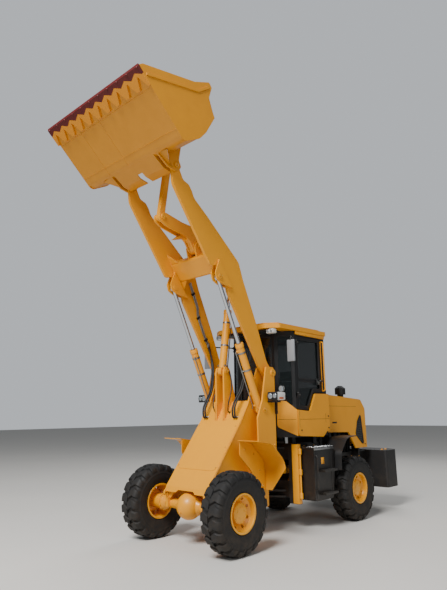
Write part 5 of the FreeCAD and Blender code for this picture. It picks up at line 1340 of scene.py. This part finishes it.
    def _hinge_pins(self) -> None:
        """Keeper plates on the articulation pins and rail bolts."""
        shape = Shape()
        for z, out in ((1237.5, 1), (405.5, -1)):
            shape.pin_end((-80, 0, z), 44, (0, 0, out))
        for _ in sides(shape):
            for z, places in ((1140, (-560, -700, -840, -980)), (900, (-1640, -1900, -2160, -2420))):
                for x in places:
                    shape.bolt((x, 405.5, z))
        shape.publish("rail_bolts", PIN_STEEL, REAR, "frame_black")


@dataclass(frozen=True)
class EngineDress:
    """Rocker cover, casting ribs, filters, silencer, fan and radiator seen when the hood stands open."""

    half: float = 260.0
    top: float = 1500.0
    silencer: tuple[float, float, float] = (-1800.0, -175.0, 1690.0)
    silencer_radius: float = 66.0
    fins: int = 30
    fin_pitch: float = 16.7
    fin_thickness: float = 3.4

    def build(self) -> None:
        """Build the fittings round the engine block."""
        iron, dark, bright, pipes = (Shape() for _ in range(4))
        iron.box((-2150, -60, self.top - 2), (-1500, 120, 1596), 26)
        iron.box((-2170, -74, self.top - 2), (-1480, 134, 1516), 4)
        for x in range(-2130, -1500, 100):
            for y in (-66, 127):
                bright.bolt((x, y, 1516), UP, 14)
        dark.lathe([(0, 34), (14, 36), (30, 36), (34, 28)], (-1600, 30, 1592), UP, 20)
        for side in sides(iron, bright):
            near, far = self.half - 2, self.half + 22
            for x in range(-2250, -1340, 110):
                iron.box((x - 8, near, 880), (x + 8, far, 1400), 3)
            for z in (1180, 1410):
                iron.box((-2300, near, z), (-1340, far + 4 if side is Side.LEFT else far, z + 30), 6)
            for x in range(-2280, -1340, 130):
                bright.bolt((x, self.half - 30, self.top), UP, 16)
        for x in (-1750, -1890):
            dark.lathe([(0, 30), (8, 44), (150, 44), (162, 36), (164, 10)], (x, 326, 1226), UP, 24)
        for x in range(-2090, -1500, 180):
            pipes.tube([(x, -70, 1552), (x, -130, 1560), (x + 20, -175, 1580)], 22, 12, bend=4)
        pipes.tube([(-2120, -180, 1582), (-1500, -180, 1582)], 30, 14)
        r = self.silencer_radius
        pipes.lathe([(-240, 26), (-225, 60), (-215, r), (215, r), (225, 60), (240, 26)], self.silencer, ALONG, 28)
        pipes.tube([(-1520, -180, 1582), (-1500, -178, 1640), (-1540, -175, 1688), (-1580, -175, 1690)],
                   24, 12, bend=5)
        for shift in (-160, 160):
            bright.band((self.silencer[0] + shift, *self.silencer[1:]), ALONG, r, 22)
        iron.box((-2372, -270, 1440), (-2332, 270, 1530), 12)
        iron.box((-2372, -270, 900), (-2332, 270, 950), 6)
        for y in (-270, 250):
            iron.box((-2368, y, 930), (-2336, y + 20, 1460), 3)
        for k in range(self.fins):
            y = -242 + k * self.fin_pitch
            dark.box((-2364, y, 945), (-2340, y + self.fin_thickness, 1445), 0)
        dark.lathe([(-2, 214), (22, 214), (22, 206), (-2, 206)], (-2328, 0, 1200), ALONG, 36, ring=True)
        dark.tube([(-2350, 150, 1520), (-2330, 150, 1600), (-2240, 120, 1630), (-2160, 60, 1580)], 22, 12, bend=6)
        iron.publish("engine_castings", ENGINE_PAINT, REAR)
        dark.publish("radiator_core_and_filters", BLACK_PLASTIC, REAR)
        bright.publish("engine_bolts", ZINC_STEEL, REAR)
        pipes.publish("exhaust_silencer", CAST_IRON, REAR)


def crossings(outline: Outline, x: float) -> list[float]:
    """Heights at which an upright line crosses a closed outline.

    Args:
        outline: corners as (x, z).
        x: where the line stands.

    Returns:
        The crossings, lowest first.
    """
    edges = zip(outline, list(outline[1:]) + [outline[0]])
    return sorted(za + (zb - za) * (x - xa) / (xb - xa) for (xa, za), (xb, zb) in edges
                  if (xa - x) * (xb - x) < 0)


@dataclass(frozen=True)
class Studio:
    """Camera at the photograph's viewpoint, soft lights and a pale floor."""

    eye: Triple = (6.321, 5.202, 1.645)
    yaw: float = 222.71
    pitch: float = 13.04
    roll: float = -0.59
    lens: float = 31.4
    sensor: float = 36.0
    reach: float = 60.0
    sky: str = "e3e8ee"
    sky_light: float = 0.3
    sky_seen_more: float = 0.4

    def build(self) -> None:
        """Set the camera, the lights and the floor."""
        self._camera()
        self._sky()
        for name, place, target, size, power in (
                ("key_box", (11.5, 3.0, 13.0), (0.5, 0.0, 2.0), 6.0, 3700.0),
                ("fill_box", (4.0, 12.0, 6.0), (0.0, 0.0, 1.8), 7.0, 230.0),
                ("back_box", (-9.0, -3.0, 9.5), (0.0, 0.0, 2.0), 6.0, 450.0)):
            data = bpy.data.lights.new(name, "AREA")
            data.shape, data.size, data.energy = "DISK", size, power
            obj = bpy.data.objects.new(name, data)
            obj.location = place
            obj.rotation_euler = (Vector(target) - Vector(place)).to_track_quat("-Z", "Y").to_euler()
            bpy.context.scene.collection.objects.link(obj)
        self._floor()

    def _camera(self) -> None:
        """Place the camera and make it the scene's own."""
        yaw, pitch, roll = (math.radians(a) for a in (self.yaw, self.pitch, self.roll))
        ahead = Vector((math.cos(yaw) * math.cos(pitch), math.sin(yaw) * math.cos(pitch), math.sin(pitch)))
        right = Vector((math.sin(yaw), -math.cos(yaw), 0.0))
        up = right.cross(ahead)
        turned_right = right * math.cos(roll) + up * math.sin(roll)
        turned_up = up * math.cos(roll) - right * math.sin(roll)
        data = bpy.data.cameras.new("camera")
        data.sensor_fit, data.sensor_width, data.lens, data.clip_end = "AUTO", self.sensor, self.lens, 200.0
        obj = bpy.data.objects.new("camera", data)
        obj.matrix_world = Matrix.Translation(self.eye) @ Matrix(
            (turned_right, turned_up, -ahead)).transposed().to_4x4()
        bpy.context.scene.collection.objects.link(obj)
        bpy.context.scene.camera = obj

    def _sky(self) -> None:
        """Fill the sky with soft light, and show it brighter than it lights."""
        world = bpy.data.worlds.new("studio_sky")
        bpy.context.scene.world = world
        world.use_nodes = True
        ground = world.node_tree.nodes["Background"]
        ground.inputs["Color"].default_value = linear(self.sky)
        seen = add_node(world.node_tree, "LightPath").outputs["Is Camera Ray"]
        gain = add_node(world.node_tree, "Math", {0: seen, 1: self.sky_seen_more, 2: self.sky_light},
                        operation="MULTIPLY_ADD").outputs[0]
        world.node_tree.links.new(gain, ground.inputs["Strength"])

    def _floor(self) -> None:
        """Lay the plain floor with a soft mottling."""
        mesh = bpy.data.meshes.new("floor")
        corners = ((-1, -1), (1, -1), (1, 1), (-1, 1))
        mesh.from_pydata([(x * self.reach, y * self.reach, 0) for x, y in corners], [], [(0, 1, 2, 3)])
        obj = bpy.data.objects.new("floor", mesh)
        bpy.context.scene.collection.objects.link(obj)
        mesh.materials.append(STUDIO_FLOOR.make())


def main() -> None:
    """Build the scene in order."""
    logging.basicConfig(level=logging.INFO, format="%(name)s: %(message)s")
    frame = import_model()
    Studio().build()
    dress_nodes(frame["nodes"])
    LOG.info("%d solids dressed", len(frame["nodes"]))
    for part in (Wheels(), Axles(), Rams(), BoomDress(), NoseDress(), BucketDress(), Cab(), BodyDress(),
                 EngineDress()):
        part.build()


if __name__ == "__main__":
    main()
